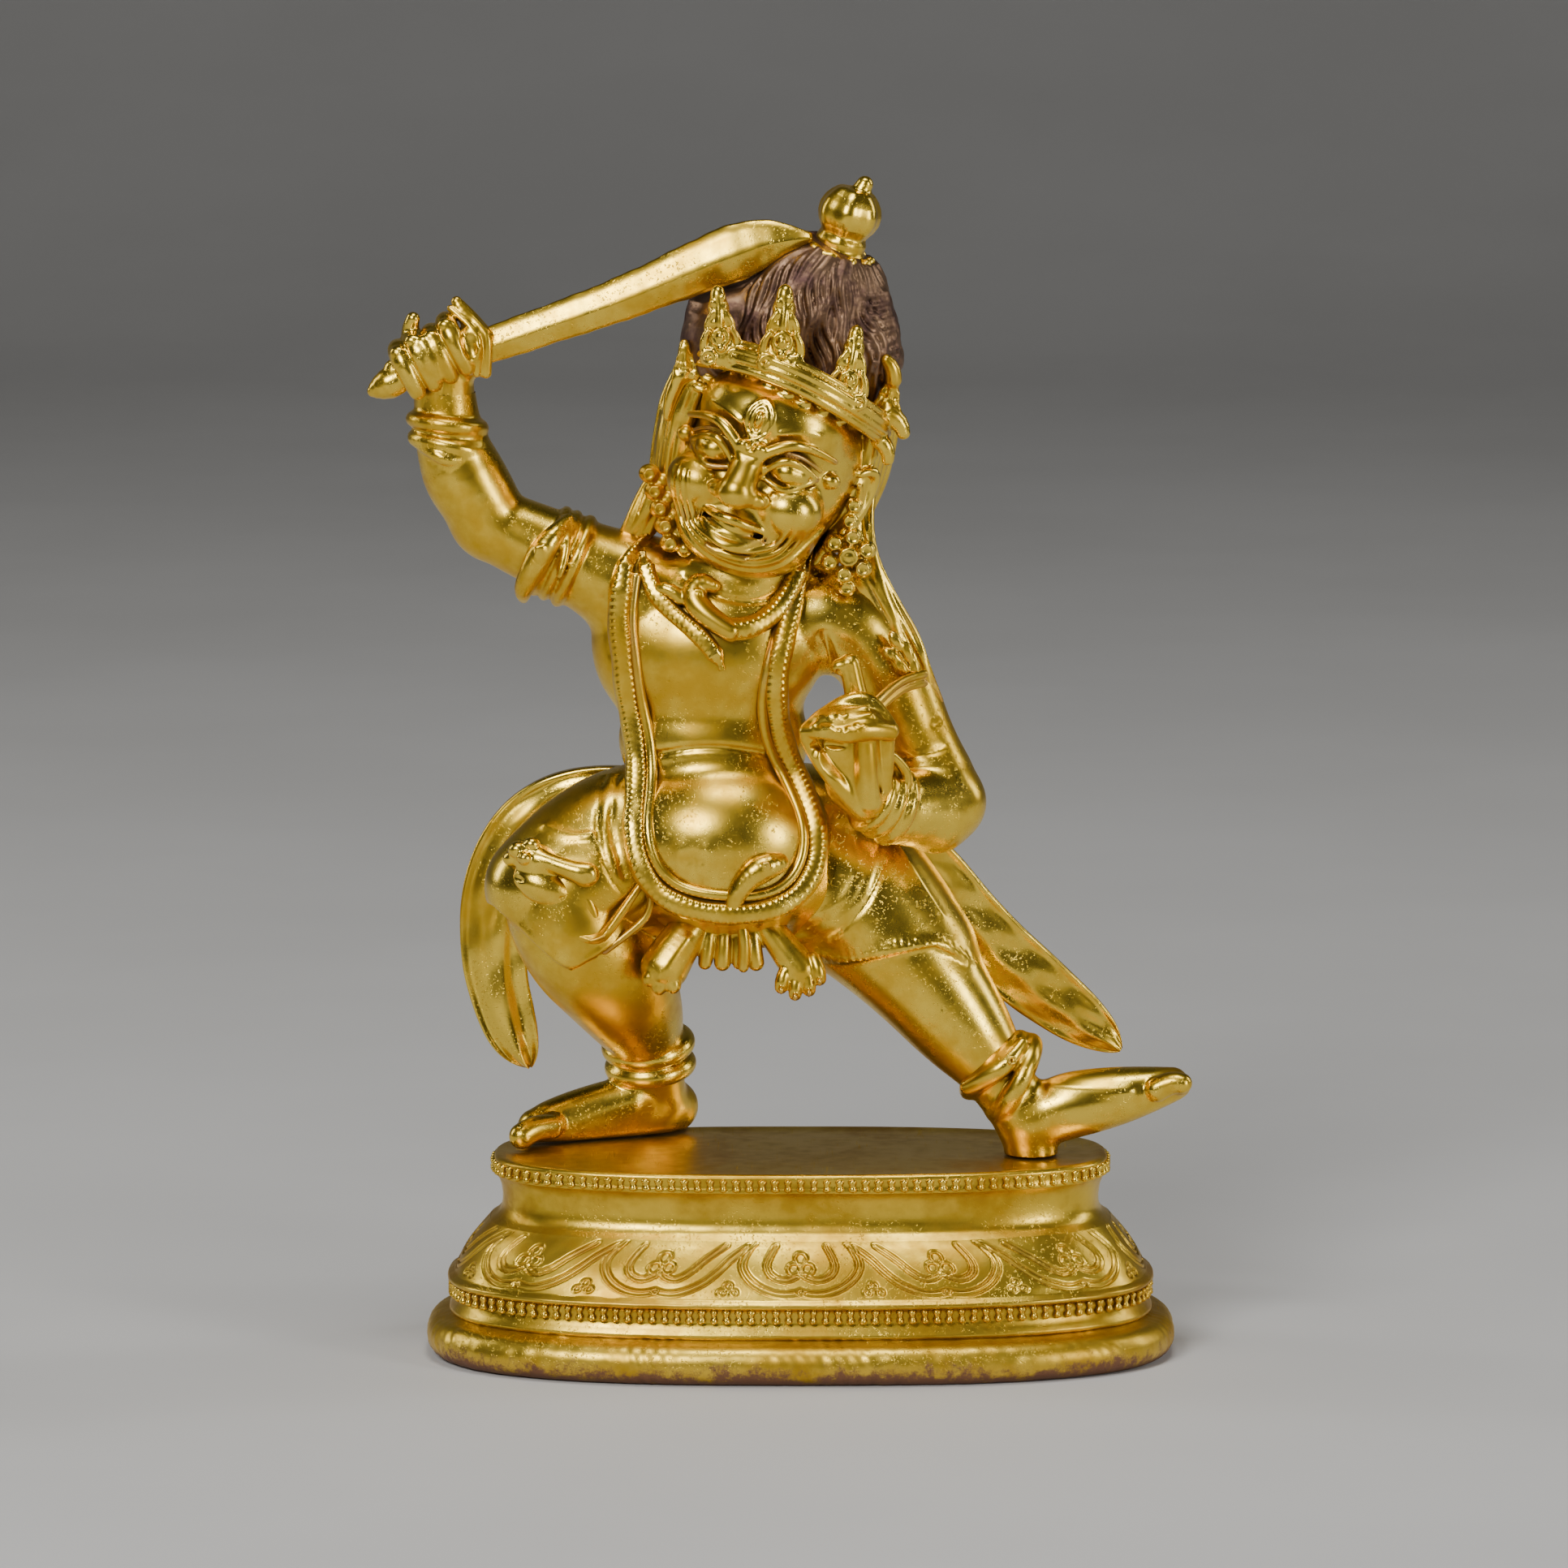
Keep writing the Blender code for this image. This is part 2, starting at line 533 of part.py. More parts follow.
def model_snakes(clay):
    """The long snake round the neck and belly, and the short one at the throat."""
    front = ((-25.0, 86.5), (-26.2, 80), (-25.5, 74), (-25.0, 68), (-23.6, 61), (-23.2, 55),
             (-24.0, 48), (-22.4, 42), (-18.5, 38.4), (-12.5, 37), (-6.0, 37), (-1.0, 38.6),
             (2.0, 42.5), (2.6, 48), (0.2, 54), (-2.6, 60), (-3.6, 66), (-3.4, 72),
             (-1.6, 79), (0.6, 85))
    route = [Vector((-20, 4, 91))]
    route += [torso_front(x, z, 0.7) for x, z in front]
    route += [Vector((1.5, 3, 88))]
    clay.limb(route, [1.7] * len(route))
    clay.limb([torso_front(-9.2, 37.6, 1.0), torso_front(-8.6, 40.6, 1.0),
               torso_front(-6.4, 43.0, 1.0), torso_front(-3.6, 44.0, 0.8)],
              [1.2, 1.3, 1.9, 1.0])
    throat = ((-22.0, 87.5), (-21.0, 83), (-17.5, 79.6), (-14.0, 77.4), (-11.6, 74.0))
    clay.limb([torso_front(x, z, 1.2) for x, z in throat], [1.7, 1.7, 1.6, 1.3, 0.7])
    loop = ((-0.6, 86.0), (-2.4, 80.6), (-6.4, 77.4), (-10.4, 77.6), (-13.6, 80.4))
    clay.limb([torso_front(x, z, 1.6) for x, z in loop], [1.6, 1.6, 1.6, 1.5, 1.9])


def model_head(clay):
    clay.head_ball((0, 1.5, 3.0), (12.4, 13.2, 13.0))
    clay.head_ball((0, -2.5, -2.0), (11.4, 10.6, 12.0))
    clay.head_ball((0, -4.6, -8.6), (9.0, 8.0, 5.6))
    for side in (-1, 1):
        clay.head_ball((side * 5.8, -8.6, -3.8), (4.2, 4.0, 3.8))
        clay.head_ball((side * 5.0, -11.4, 1.6), (2.5, 1.5, 1.5))
        brow = [(side * 1.4, -13.2, 3.4), (side * 4.6, -12.8, 5.6), (side * 8.8, -9.8, 4.6)]
        clay.limb([head_to_figure(p) for p in brow], [1.0, 1.2, 0.8])
        clay.head_ball((side * 1.9, -14.4, -2.8), (1.3, 1.4, 1.2))
        clay.head_ball((side * 12.4, 1.5, -1.5), (1.7, 2.6, 5.4))
    clay.limb([head_to_figure(p) for p in ((0, -12.2, 4.4), (0, -14.0, 0.6), (0, -15.6, -2.4))],
              [1.3, 1.4, 1.8])
    clay.head_ball((0, -12.6, 7.4), (1.3, 1.2, 2.2))
    lip = [(-5.6, -10.8, -6.0), (-2.4, -13.0, -6.2), (0, -13.4, -5.9), (2.4, -13.0, -6.2),
           (5.6, -10.8, -6.0)]
    clay.limb([head_to_figure(p) for p in lip], [0.7, 1.0, 1.0, 1.0, 0.7])
    lower = [(-5.0, -10.4, -8.4), (0, -12.6, -9.4), (5.0, -10.4, -8.4)]
    clay.limb([head_to_figure(p) for p in lower], [0.7, 1.1, 0.7])
    clay.head_ball((0, -10.4, -12.4), (3.6, 3.0, 2.6))


def model_crown(clay):
    """The crown: a ridged band that rises to the front, and five flaming leaves."""
    band = []
    for step in range(24):
        angle = 2 * math.pi * step / 24
        x = 14.6 * math.sin(angle) - 0.4
        y = 1.0 - 14.4 * math.cos(angle)
        band.append(head_to_figure((x, y, 12.6 + 1.6 * math.cos(angle))))
    for rise, tube in ((-1.1, 0.9), (0.3, 1.1), (1.5, 0.8)):
        lift = head_to_figure((0, 0, rise)) - head_to_figure((0, 0, 0))
        clay.limb([point + lift for point in band], tube, closed=True)
    leaves = (
        ((-16.0, -2.0, 111.5), (-16.0, -2.0, 118.5)),
        ((-11.0, -11.0, 115.0), (-12.0, -11.0, 126.2)),
        ((-2.8, -14.0, 114.6), (-2.4, -13.8, 126.4)),
        ((6.2, -12.0, 110.0), (7.8, -11.4, 120.4)),
        ((11.2, -3.0, 107.0), (12.4, -2.6, 114.0)),
    )
    for foot, tip in leaves:
        foot = Vector(foot)
        tip = Vector(tip)
        clay.limb([foot, foot.lerp(tip, 0.35), foot.lerp(tip, 0.7), tip], [2.6, 2.8, 1.7, 0.7])


def model_hair(clay):
    """The piled hair, its gilt crest, and the lotus bud and jewel that finish it."""
    clay.ball((-3.2, 4.5, 112), (13.4, 12.5, 11.0), (0, 17, 0))
    clay.ball((-0.5, 4.0, 119.5), (11.8, 10.8, 9.0), (0, 20, 0))
    clay.ball((2.6, 2.8, 127.0), (8.2, 8.0, 5.4), (0, 20, 0))
    for lock in range(9):
        angle = 2 * math.pi * lock / 9
        strand = []
        for step in range(5):
            share = step / 4
            spin = angle + 0.5 * share
            reach = 12.0 * math.sqrt(1 - 0.72 * share ** 2)
            strand.append((-2.5 + 5.4 * share + reach * math.sin(spin),
                           4.2 - 1.4 * share - 0.92 * reach * math.cos(spin),
                           114 + 15.5 * share))
        clay.limb(strand, [1.5, 1.9, 2.0, 1.9, 1.4])
    clay.limb([(4.8, 2, 129), (6.2, 1, 132.2)], [4.2, 3.6])
    clay.ring((6.0, 1.0, 131.8), (0.34, -0.1, 1), 3.9, 1.1)
    clay.ball((7.9, 0.4, 136.0), (4.3, 4.3, 4.0), (0, 20, 0))
    clay.limb([(8.9, 0.2, 139), (9.6, 0, 140.0)], [1.4, 1.0])
    clay.limb([(-16.2, 1, 107), (-17.4, 1, 101.5), (-19.2, 1, 96.5), (-22.4, 1, 91.5)],
              [2.4, 2.5, 2.5, 3.0])
    clay.ball((-17.6, -0.5, 92.5), (3.2, 3.0, 4.2))
    clay.limb([(11.2, 1, 104), (9.2, 1, 98), (6.8, 0, 92), (6.0, 0, 87)], 2.2)
    clay.limb([(6.4, 1, 85), (9.2, 0, 80), (12.2, -1, 74), (15.4, -1, 68)], [2.0, 1.8, 1.6, 1.2])


def model_earrings(clay):
    for drop in range(3):
        clay.ball((-21.0 + 0.9 * drop, -3.0, 96.8 - 2.7 * drop), 1.9)
    clay.ball((6.8, -6.0, 87.3), 1.7)
    for petal in range(6):
        angle = 2 * math.pi * petal / 6
        clay.ball((6.8 + 2.5 * math.cos(angle), -5.6, 87.3 + 2.5 * math.sin(angle)), 1.3)
    clay.limb([(7.0, -4.0, 93), (6.8, -5.0, 90)], 1.5)


def centre_on_origin(things):
    """Moves the pieces together so that the middle of their box is over the origin."""
    bpy.context.view_layer.update()
    graph = bpy.context.evaluated_depsgraph_get()
    corners = []
    for thing in things:
        solid = thing.evaluated_get(graph)
        corners += [solid.matrix_world @ Vector(corner) for corner in solid.bound_box]
    for axis in range(2):
        low = min(corner[axis] for corner in corners)
        high = max(corner[axis] for corner in corners)
        for thing in things:
            thing.location[axis] -= (low + high) / 2


def largest_body(mesh):
    """Keeps only the outer skin of the fused clay."""
    shell = bmesh.new()
    shell.from_mesh(mesh)
    shell.verts.ensure_lookup_table()
    seen = set()
    best = []
    for start in shell.verts:
        if start.index in seen:
            continue
        island = [start]
        seen.add(start.index)
        for vertex in island:
            for edge in vertex.link_edges:
                other = edge.other_vert(vertex)
                if other.index not in seen:
                    seen.add(other.index)
                    island.append(other)
        if len(island) > len(best):
            best = island
    keep = set(vertex.index for vertex in best)
    spare = [vertex for vertex in shell.verts if vertex.index not in keep]
    bmesh.ops.delete(shell, geom=spare, context="VERTS")
    shell.to_mesh(mesh)
    shell.free()


def evaluated_mesh(thing):
    bpy.context.view_layer.update()
    graph = bpy.context.evaluated_depsgraph_get()
    return bpy.data.meshes.new_from_object(thing.evaluated_get(graph))


def cast_figure(clay, group, guides, material):
    rough = bpy.data.meshes.new("clay")
    clay.body.to_mesh(rough)
    clay.body.free()
    form = bpy.data.objects.new("clay", rough)
    guides.objects.link(form)
    remesh = form.modifiers.new("fuse", "REMESH")
    remesh.mode = "VOXEL"
    remesh.voxel_size = VOXEL
    smooth = form.modifiers.new("soften", "SMOOTH")
    smooth.iterations = SMOOTHING_STEPS
    smooth.factor = 0.5
    skin = evaluated_mesh(form)
    bpy.data.objects.remove(form)
    largest_body(skin)
    skin.transform(Matrix.Diagonal((UNIT, UNIT, UNIT, 1)))
    figure = bpy.data.objects.new("figure", skin)
    group.objects.link(figure)
    figure.location = (0, 0, BASE_HEIGHT)
    thin = figure.modifiers.new("facet", "DECIMATE")
    thin.ratio = FIGURE_TRIANGLES / (2 * len(skin.polygons))
    trim = bpy.data.meshes.new("sole_trim")
    block = bmesh.new()
    bmesh.ops.create_cube(block, size=1.0)
    block.to_mesh(trim)
    block.free()
    depth = 10 * UNIT
    trim.transform(Matrix.Diagonal((FIGURE_HEIGHT, FIGURE_HEIGHT, depth, 1)))
    cutter = bpy.data.objects.new("sole_trim", trim)
    cutter.location = (0, 0, BASE_HEIGHT + FOOT_GAP - depth / 2)
    cutter.hide_render = True
    cutter.display_type = "WIRE"
    guides.objects.link(cutter)
    flatten = figure.modifiers.new("flat_soles", "BOOLEAN")
    flatten.operation = "DIFFERENCE"
    flatten.object = cutter
    skin.materials.clear()
    skin.materials.append(material)
    skin.shade_smooth()
    return figure, cutter


def main():
    clear_scene()
    statue = new_collection("mahakala_statue")
    guides = new_collection("cutters")
    gilt = metal("gilt_copper", (0.80, 0.56, 0.18), 0.30)
    gilt_base = metal("gilt_copper_base", (0.74, 0.52, 0.18), 0.36)
    clay = Clay()
    model_torso(clay)
    model_right_arm(clay)
    model_sword_hand(clay)
    model_sword(clay)
    model_left_arm(clay)
    model_cup(clay)
    model_right_leg(clay)
    model_left_leg(clay)
    model_tiger_skin(clay)
    model_scarf(clay)
    model_snakes(clay)
    model_head(clay)
    model_crown(clay)
    model_hair(clay)
    model_earrings(clay)
    figure, cutter = cast_figure(clay, statue, guides, gilt)
    base = make_base(statue, gilt_base)
    centre_on_origin([figure, base])
    cutter.location.x = figure.location.x
    cutter.location.y = figure.location.y


main()
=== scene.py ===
import math

import bpy
import numpy as np
from mathutils import Matrix, Vector


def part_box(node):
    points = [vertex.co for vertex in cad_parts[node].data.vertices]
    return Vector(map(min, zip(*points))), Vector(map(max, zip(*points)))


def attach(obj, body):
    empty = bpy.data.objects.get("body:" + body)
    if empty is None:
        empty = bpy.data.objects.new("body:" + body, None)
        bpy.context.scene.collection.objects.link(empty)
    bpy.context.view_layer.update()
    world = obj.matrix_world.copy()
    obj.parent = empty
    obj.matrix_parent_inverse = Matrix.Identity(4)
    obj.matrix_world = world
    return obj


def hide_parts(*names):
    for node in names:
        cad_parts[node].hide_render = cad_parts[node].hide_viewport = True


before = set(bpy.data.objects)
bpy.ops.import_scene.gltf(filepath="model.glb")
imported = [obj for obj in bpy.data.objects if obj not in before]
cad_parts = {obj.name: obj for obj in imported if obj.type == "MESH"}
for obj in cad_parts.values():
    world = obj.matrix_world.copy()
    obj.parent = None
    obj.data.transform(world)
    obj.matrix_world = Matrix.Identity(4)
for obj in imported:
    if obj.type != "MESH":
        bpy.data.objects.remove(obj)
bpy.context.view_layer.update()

# The figure is drawn in units close to a millimetre: x to the viewer's right, y away
# from the viewer, z up from the plate, with the middle of the plate at 0, 0, 0.
BASE_LOW, BASE_HIGH = (Vector(corner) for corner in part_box("lotus_base"))
FIGURE_HIGH = Vector(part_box("figure")[1])
DRAWN_TOP = 141.0    # the bud's tip above the plate, as drawn
UNIT = (FIGURE_HIGH.z - BASE_HIGH.z) / DRAWN_TOP
PLATE_MIDDLE = Vector(((BASE_LOW.x + BASE_HIGH.x) / 2, (BASE_LOW.y + BASE_HIGH.y) / 2, BASE_HIGH.z))

# The head's own frame: x across the face, -y out of the face, z up through the crown
HEAD_CENTRE = np.array([-4.3, -1.5, 98.5])
HEAD_SPIN = np.array(
    Matrix.Rotation(math.radians(17), 3, "Y")
    @ Matrix.Rotation(math.radians(-12), 3, "Z")
    @ Matrix.Rotation(math.radians(3), 3, "X")
)

FORWARD = np.array((0.0, -1.0, 0.0))    # the way the statue faces
FAR = 6.0             # the distance that an empty block of wax starts with
FORM_MARGIN = 1.5     # how far beyond its own size and blend a form is worked out
RING_POINTS = 24


# Modelling tools

def smooth_path(points, spacing=0.5, closed=False):
    """Evenly spaced points along a smooth quadratic curve; extra columns ride along."""
    knots = np.array(points, float)
    middles = (knots + np.roll(knots, -1, axis=0)) / 2
    if closed:
        runs = list(zip(np.roll(middles, 1, axis=0), knots, middles))
    else:
        middles[0] = knots[0]
        middles[-2] = knots[-1]
        runs = list(zip(middles[:-2], knots[1:-1], middles[1:-1]))
        if len(knots) == 2:
            runs = [(knots[0], (knots[0] + knots[1]) / 2, knots[1])]
    t = np.linspace(0, 1, 17)[:-1, None]
    dense = [(1 - t) ** 2 * a + 2 * t * (1 - t) * b + t ** 2 * c for a, b, c in runs]
    dense = np.vstack(dense + [runs[-1][2][None]])
    steps = np.linalg.norm(np.diff(dense[:, :3], axis=0), axis=1)
    length = np.concatenate([[0], np.cumsum(steps)])
    count = max(int(round(length[-1] / spacing)), 2)
    even = np.linspace(0, length[-1], count + 1)
    if closed:
        even = even[:-1]
    return np.stack([np.interp(even, length, column) for column in dense.T], axis=1)


def eased(points, rounds):
    """The same points with the jumps in their depth evened out."""
    points = np.array(points, float)
    for _ in range(rounds):
        points[1:-1, 1] = (points[:-2, 1] + 2 * points[1:-1, 1] + points[2:, 1]) / 4
    return points


def turned(degrees):
    """A rotation matrix from degrees about x, then y, then z."""
    x, y, z = (math.radians(a) for a in degrees)
    return np.array(Matrix.Rotation(z, 3, "Z") @ Matrix.Rotation(y, 3, "Y")
                    @ Matrix.Rotation(x, 3, "X"))


class Wax:
    """A block of signed distances that forms are laid into, cut from and skinned."""

    def __init__(self, low, high, step):
        self.low = np.array(low, np.float32)
        self.step = step
        self.shape = [int(math.ceil((b - a) / step)) + 1 for a, b in zip(low, high)]
        self.value = np.full(self.shape, FAR, np.float32)

    def window(self, low, high):
        slices = []
        axes = []
        for axis in range(3):
            first = max(0, int((low[axis] - self.low[axis]) / self.step))
            last = min(self.shape[axis], int((high[axis] - self.low[axis]) / self.step) + 2)
            if first >= last:
                return None, None
            slices.append(slice(first, last))
            places = self.low[axis] + self.step * np.arange(first, last, dtype=np.float32)
            shape = [1, 1, 1]
            shape[axis] = -1
            axes.append(places.reshape(shape))
        return tuple(slices), axes

    def join(self, slices, form, blend):
        old = self.value[slices]
        if blend > 0:
            mix = np.clip(blend - np.abs(old - form), 0, None)
            self.value[slices] = np.minimum(old, form) - mix * mix / (4 * blend)
        else:
            self.value[slices] = np.minimum(old, form)

    def cut(self, slices, form, blend):
        old = self.value[slices]
        form = -form
        if blend > 0:
            mix = np.clip(blend - np.abs(old - form), 0, None)
            self.value[slices] = np.maximum(old, form) + mix * mix / (4 * blend)
        else:
            self.value[slices] = np.maximum(old, form)

    def ball_form(self, centre, radii, turn, margin):
        radii = np.broadcast_to(np.array(radii, np.float32), 3)
        reach = radii.max() + margin
        centre = np.array(centre, np.float32)
        slices, axes = self.window(centre - reach, centre + reach)
        if slices is None:
            return None, None
        offset = [axes[k] - centre[k] for k in range(3)]
        if turn is not None:
            spin = turned(turn).T.astype(np.float32)
            offset = [sum(spin[row, k] * offset[k] for k in range(3)) for row in range(3)]
        k0 = np.sqrt(sum((offset[k] / radii[k]) ** 2 for k in range(3)))
        k1 = np.sqrt(sum((offset[k] / radii[k] ** 2) ** 2 for k in range(3))) + 1e-6
        return slices, k0 * (k0 - 1) / k1

    def ball(self, centre, radii, blend=1.0, turn=None):
        slices, form = self.ball_form(centre, radii, turn, blend + FORM_MARGIN)
        if slices is not None:
            self.join(slices, form, blend)

    def dent(self, centre, radii, blend=0.5, turn=None):
        slices, form = self.ball_form(centre, radii, turn, blend + FORM_MARGIN)
        if slices is not None:
            self.cut(slices, form, blend)

    def bar_form(self, points, radii, margin, spacing=None, closed=False):
        """Distances from a bar whose radius changes along a smooth path."""
        radii = np.broadcast_to(np.array(radii, float), len(points))
        path = smooth_path(np.column_stack([points, radii]),
                           spacing or max(3 * self.step, 0.8), closed)
        if closed:
            path = np.vstack([path, path[:1]])
        reach = path[:, 3].max() + margin
        slices, _ = self.window(path[:, :3].min(0) - reach, path[:, :3].max(0) + reach)
        if slices is None:
            return None, None
        form = np.full([s.stop - s.start for s in slices], FAR + margin, np.float32)
        for a, b in zip(path, path[1:]):
            near = max(a[3], b[3]) + margin
            part, axes = self.window(np.minimum(a, b)[:3] - near, np.maximum(a, b)[:3] + near)
            if part is None:
                continue
            local = tuple(slice(p.start - s.start, p.stop - s.start) for p, s in zip(part, slices))
            along = (b - a)[:3].astype(np.float32)
            offset = [axes[k] - np.float32(a[k]) for k in range(3)]
            dot = sum(offset[k] * along[k] for k in range(3)) / max(float(along @ along), 1e-9)
            share = np.clip(dot, 0, 1)
            gap = np.sqrt(sum((offset[k] - share * along[k]) ** 2 for k in range(3)))
            gap -= np.float32(a[3]) + share * np.float32(b[3] - a[3])
            form[local] = np.minimum(form[local], gap)
        return slices, form

    def bar(self, points, radii, blend=1.0, closed=False, within=None):
        slices, form = self.bar_form(points, radii, blend + FORM_MARGIN, closed=closed)
        if slices is None:
            return
        if within is not None:
            axes = [self.low[k] + self.step * np.arange(slices[k].start, slices[k].stop)
                    for k in range(3)]
            form = np.maximum(form, within(axes[0][:, None, None], axes[1][None, :, None],
                                           axes[2][None, None, :]))
        self.join(slices, form.astype(np.float32), blend)

    def channel(self, points, radii, blend=0.4):
        slices, form = self.bar_form(points, radii, blend + FORM_MARGIN)
        if slices is not None:
            self.cut(slices, form, blend)

    def raise_line(self, points, width, height, closed=False):
        """Lifts the skin along a line, or sinks it where height is negative."""
        slices, gap = self.bar_form(points, 0.0, 3 * width, spacing=0.35, closed=closed)
        if slices is not None:
            self.value[slices] -= height * np.exp(-(gap / width) ** 2)

    def ring(self, centre, axis, across, tube, blend=0.6, squash=1.0):
        self.bar(ring_points(centre, axis, across, squash), tube, blend, closed=True)

    def front(self, places, lift=0.0):
        """The points of the skin in front of some (x, z) places, lifted off it."""
        found = []
        for x, z in places:
            i = int(np.clip(round((x - self.low[0]) / self.step), 0, self.shape[0] - 1))
            k = int(np.clip(round((z - self.low[2]) / self.step), 0, self.shape[2] - 1))
            column = self.value[i, :, k]
            inside = np.nonzero(column < 0)[0]
            if len(inside) == 0:
                j = float(np.argmin(column))
            else:
                j = inside[0]
                if j > 0:
                    j = j - column[j] / (column[j] - column[j - 1])
            found.append((x, self.low[1] + self.step * j - lift, z))
        return found

    def stand_on(self, floor):
        """Cuts off what lies below a height."""
        heights = self.step * np.arange(self.shape[2], dtype=np.float32)
        self.value = np.maximum(self.value, floor - self.low[2] - heights)

    def skin(self):
        """A quad mesh of the surface: one point a cell, placed by its edge crossings."""
        inside = self.value < 0
        corners = [(i, j, k) for i in (0, 1) for j in (0, 1) for k in (0, 1)]
        size = np.array(self.shape) - 1
        count = np.zeros(size, np.uint8)
        for i, j, k in corners:
            count += inside[i:size[0] + i, j:size[1] + j, k:size[2] + k]
        cells = np.argwhere((count > 0) & (count < 8))
        number = np.full(size, -1, np.int32)
        number[tuple(cells.T)] = np.arange(len(cells))
        total = np.zeros((len(cells), 3))
        hits = np.zeros(len(cells))
        for a in corners:
            for axis in range(3):
                if a[axis]:
                    continue
                b = list(a)
                b[axis] = 1
                va = self.value[tuple((cells + a).T)]
                vb = self.value[tuple((cells + b).T)]
                crossed = (va < 0) != (vb < 0)
                share = va[crossed] / (va[crossed] - vb[crossed])
                place = cells[crossed] + np.array(a, float)
                place[:, axis] += share
                total[crossed] += place
                hits[crossed] += 1
        verts = self.low + self.step * total / hits[:, None]
        quads = []
        for axis in range(3):
            p, q = (axis + 1) % 3, (axis + 2) % 3
            lower = [slice(1, -1)] * 3
            upper = [slice(1, -1)] * 3
            lower[axis] = slice(0, -1)
            upper[axis] = slice(1, None)
            change = inside[tuple(lower)] != inside[tuple(upper)]
            edges = np.argwhere(change)
            starts = edges + 1
            starts[:, axis] -= 1
            outward = inside[tuple(starts.T)]
            around = []
            for dp, dq in ((0, 0), (1, 0), (1, 1), (0, 1)):
                cell = starts.copy()
                cell[:, p] -= dp
                cell[:, q] -= dq
                around.append(number[tuple(cell.T)])
            faces = np.stack(around, axis=1)
            faces[~outward] = faces[~outward][:, ::-1]
            quads.append(faces)
        return verts, np.vstack(quads)


def ring_points(centre, axis, across, squash=1.0):
    axis = Vector(axis).normalized()
    first = axis.orthogonal().normalized()
    second = axis.cross(first)
    points = []
    for step in range(RING_POINTS):
        angle = 2 * math.pi * step / RING_POINTS
        reach = first * math.cos(angle) + second * math.sin(angle) * squash
        points.append(tuple(Vector(centre) + reach * across))
    return points


def from_head(points):
    return HEAD_CENTRE + np.asarray(points, float) @ HEAD_SPIN.T


def to_world(points):
    return np.asarray(points, float) * UNIT + np.array(PLATE_MIDDLE)


def make_mesh(name, verts, faces):
    """A smooth-shaded mesh from arrays of points and of triangles or quads."""
    corners = verts[faces]
    normals = np.cross(corners[:, 1] - corners[:, 0], corners[:, -1] - corners[:, 0])
    if (normals * (corners[:, 0] - verts.mean(axis=0))).sum() < 0:
        faces = faces[:, ::-1]
    verts = np.ascontiguousarray(verts, np.float32)
    faces = np.ascontiguousarray(faces, np.int32)
    sides = faces.shape[1]
    mesh = bpy.data.meshes.new(name)
    mesh.vertices.add(len(verts))
    mesh.vertices.foreach_set("co", verts.ravel())
    mesh.loops.add(faces.size)
    mesh.loops.foreach_set("vertex_index", faces.ravel())
    mesh.polygons.add(len(faces))
    mesh.polygons.foreach_set("loop_start", np.arange(0, faces.size, sides, dtype=np.int32))
    mesh.polygons.foreach_set("loop_total", np.full(len(faces), sides, np.int32))
    mesh.update(calc_edges=True)
    mesh.shade_smooth()
    return mesh


def make_piece(name, verts, faces, material, limit=None, node="figure"):
    """An object in the frame that rides on the statue and stands for one of its nodes."""
    piece = bpy.data.objects.new(name, make_mesh(name, verts, faces))
    bpy.context.scene.collection.objects.link(piece)
    triangles = len(faces) * (faces.shape[1] - 2)
    if limit and triangles > limit:
        thin = piece.modifiers.new("thin", "DECIMATE")
        thin.ratio = limit / triangles
        bpy.context.view_layer.update()
        graph = bpy.context.evaluated_depsgraph_get()
        mesh = bpy.data.meshes.new_from_object(piece.evaluated_get(graph))
        piece.modifiers.clear()
        old = piece.data
        piece.data = mesh
        bpy.data.meshes.remove(old)
        mesh.name = name
        mesh.shade_smooth()
    piece.data.materials.clear()
    piece.data.materials.append(material)
    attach(piece, "root")
    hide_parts(node)
    return piece


def sweep(path, reach_across, reach_out):
    """Points and triangles of a closed section carried along a path, its ends closed."""
    path = np.asarray(path, float)[:, :3]
    sides = reach_out.shape[-1]
    shape = (len(path), sides)
    reach_across = np.broadcast_to(reach_across, shape)
    reach_out = np.broadcast_to(reach_out, shape)
    along = np.gradient(path, axis=0)
    along /= np.linalg.norm(along, axis=1)[:, None]
    across = np.cross(along, FORWARD)
    across /= np.linalg.norm(across, axis=1)[:, None]
    out = np.cross(across, along)
    rings = (path[:, None] + across[:, None] * reach_across[..., None]
             + out[:, None] * reach_out[..., None])
    index = np.arange(shape[0] * sides).reshape(shape)
    turn = np.roll(index, -1, axis=1)
    a, b, c, d = (part.ravel() for part in (index[:-1], index[1:], turn[1:], turn[:-1]))
    ends = [np.full(sides, index.size), np.full(sides, index.size + 1)]
    faces = np.vstack([
        np.column_stack([a, b, c]), np.column_stack([a, c, d]),
        np.column_stack([ends[0], index[0], turn[0]]),
        np.column_stack([ends[1], turn[-1], index[-1]]),
    ])
    verts = np.vstack([rings.reshape(-1, 3), rings[0].mean(axis=0), rings[-1].mean(axis=0)])
    return verts, faces


def tube(path, radius, sides):
    angle = np.linspace(0, 2 * math.pi, sides, endpoint=False)
    radius = np.asarray(radius, float).reshape(-1, 1)
    return sweep(path, radius * np.sin(angle), radius * np.cos(angle))


def ring_quads(rows, sides):
    """The numbers of points in stacked rings, and the quads between the rings."""
    index = np.arange(rows * sides).reshape(rows, sides)
    turn = np.roll(index, -1, axis=1)
    quads = np.stack([index[:-1], turn[:-1], turn[1:], index[1:]], axis=-1).reshape(-1, 4)
    return index, quads


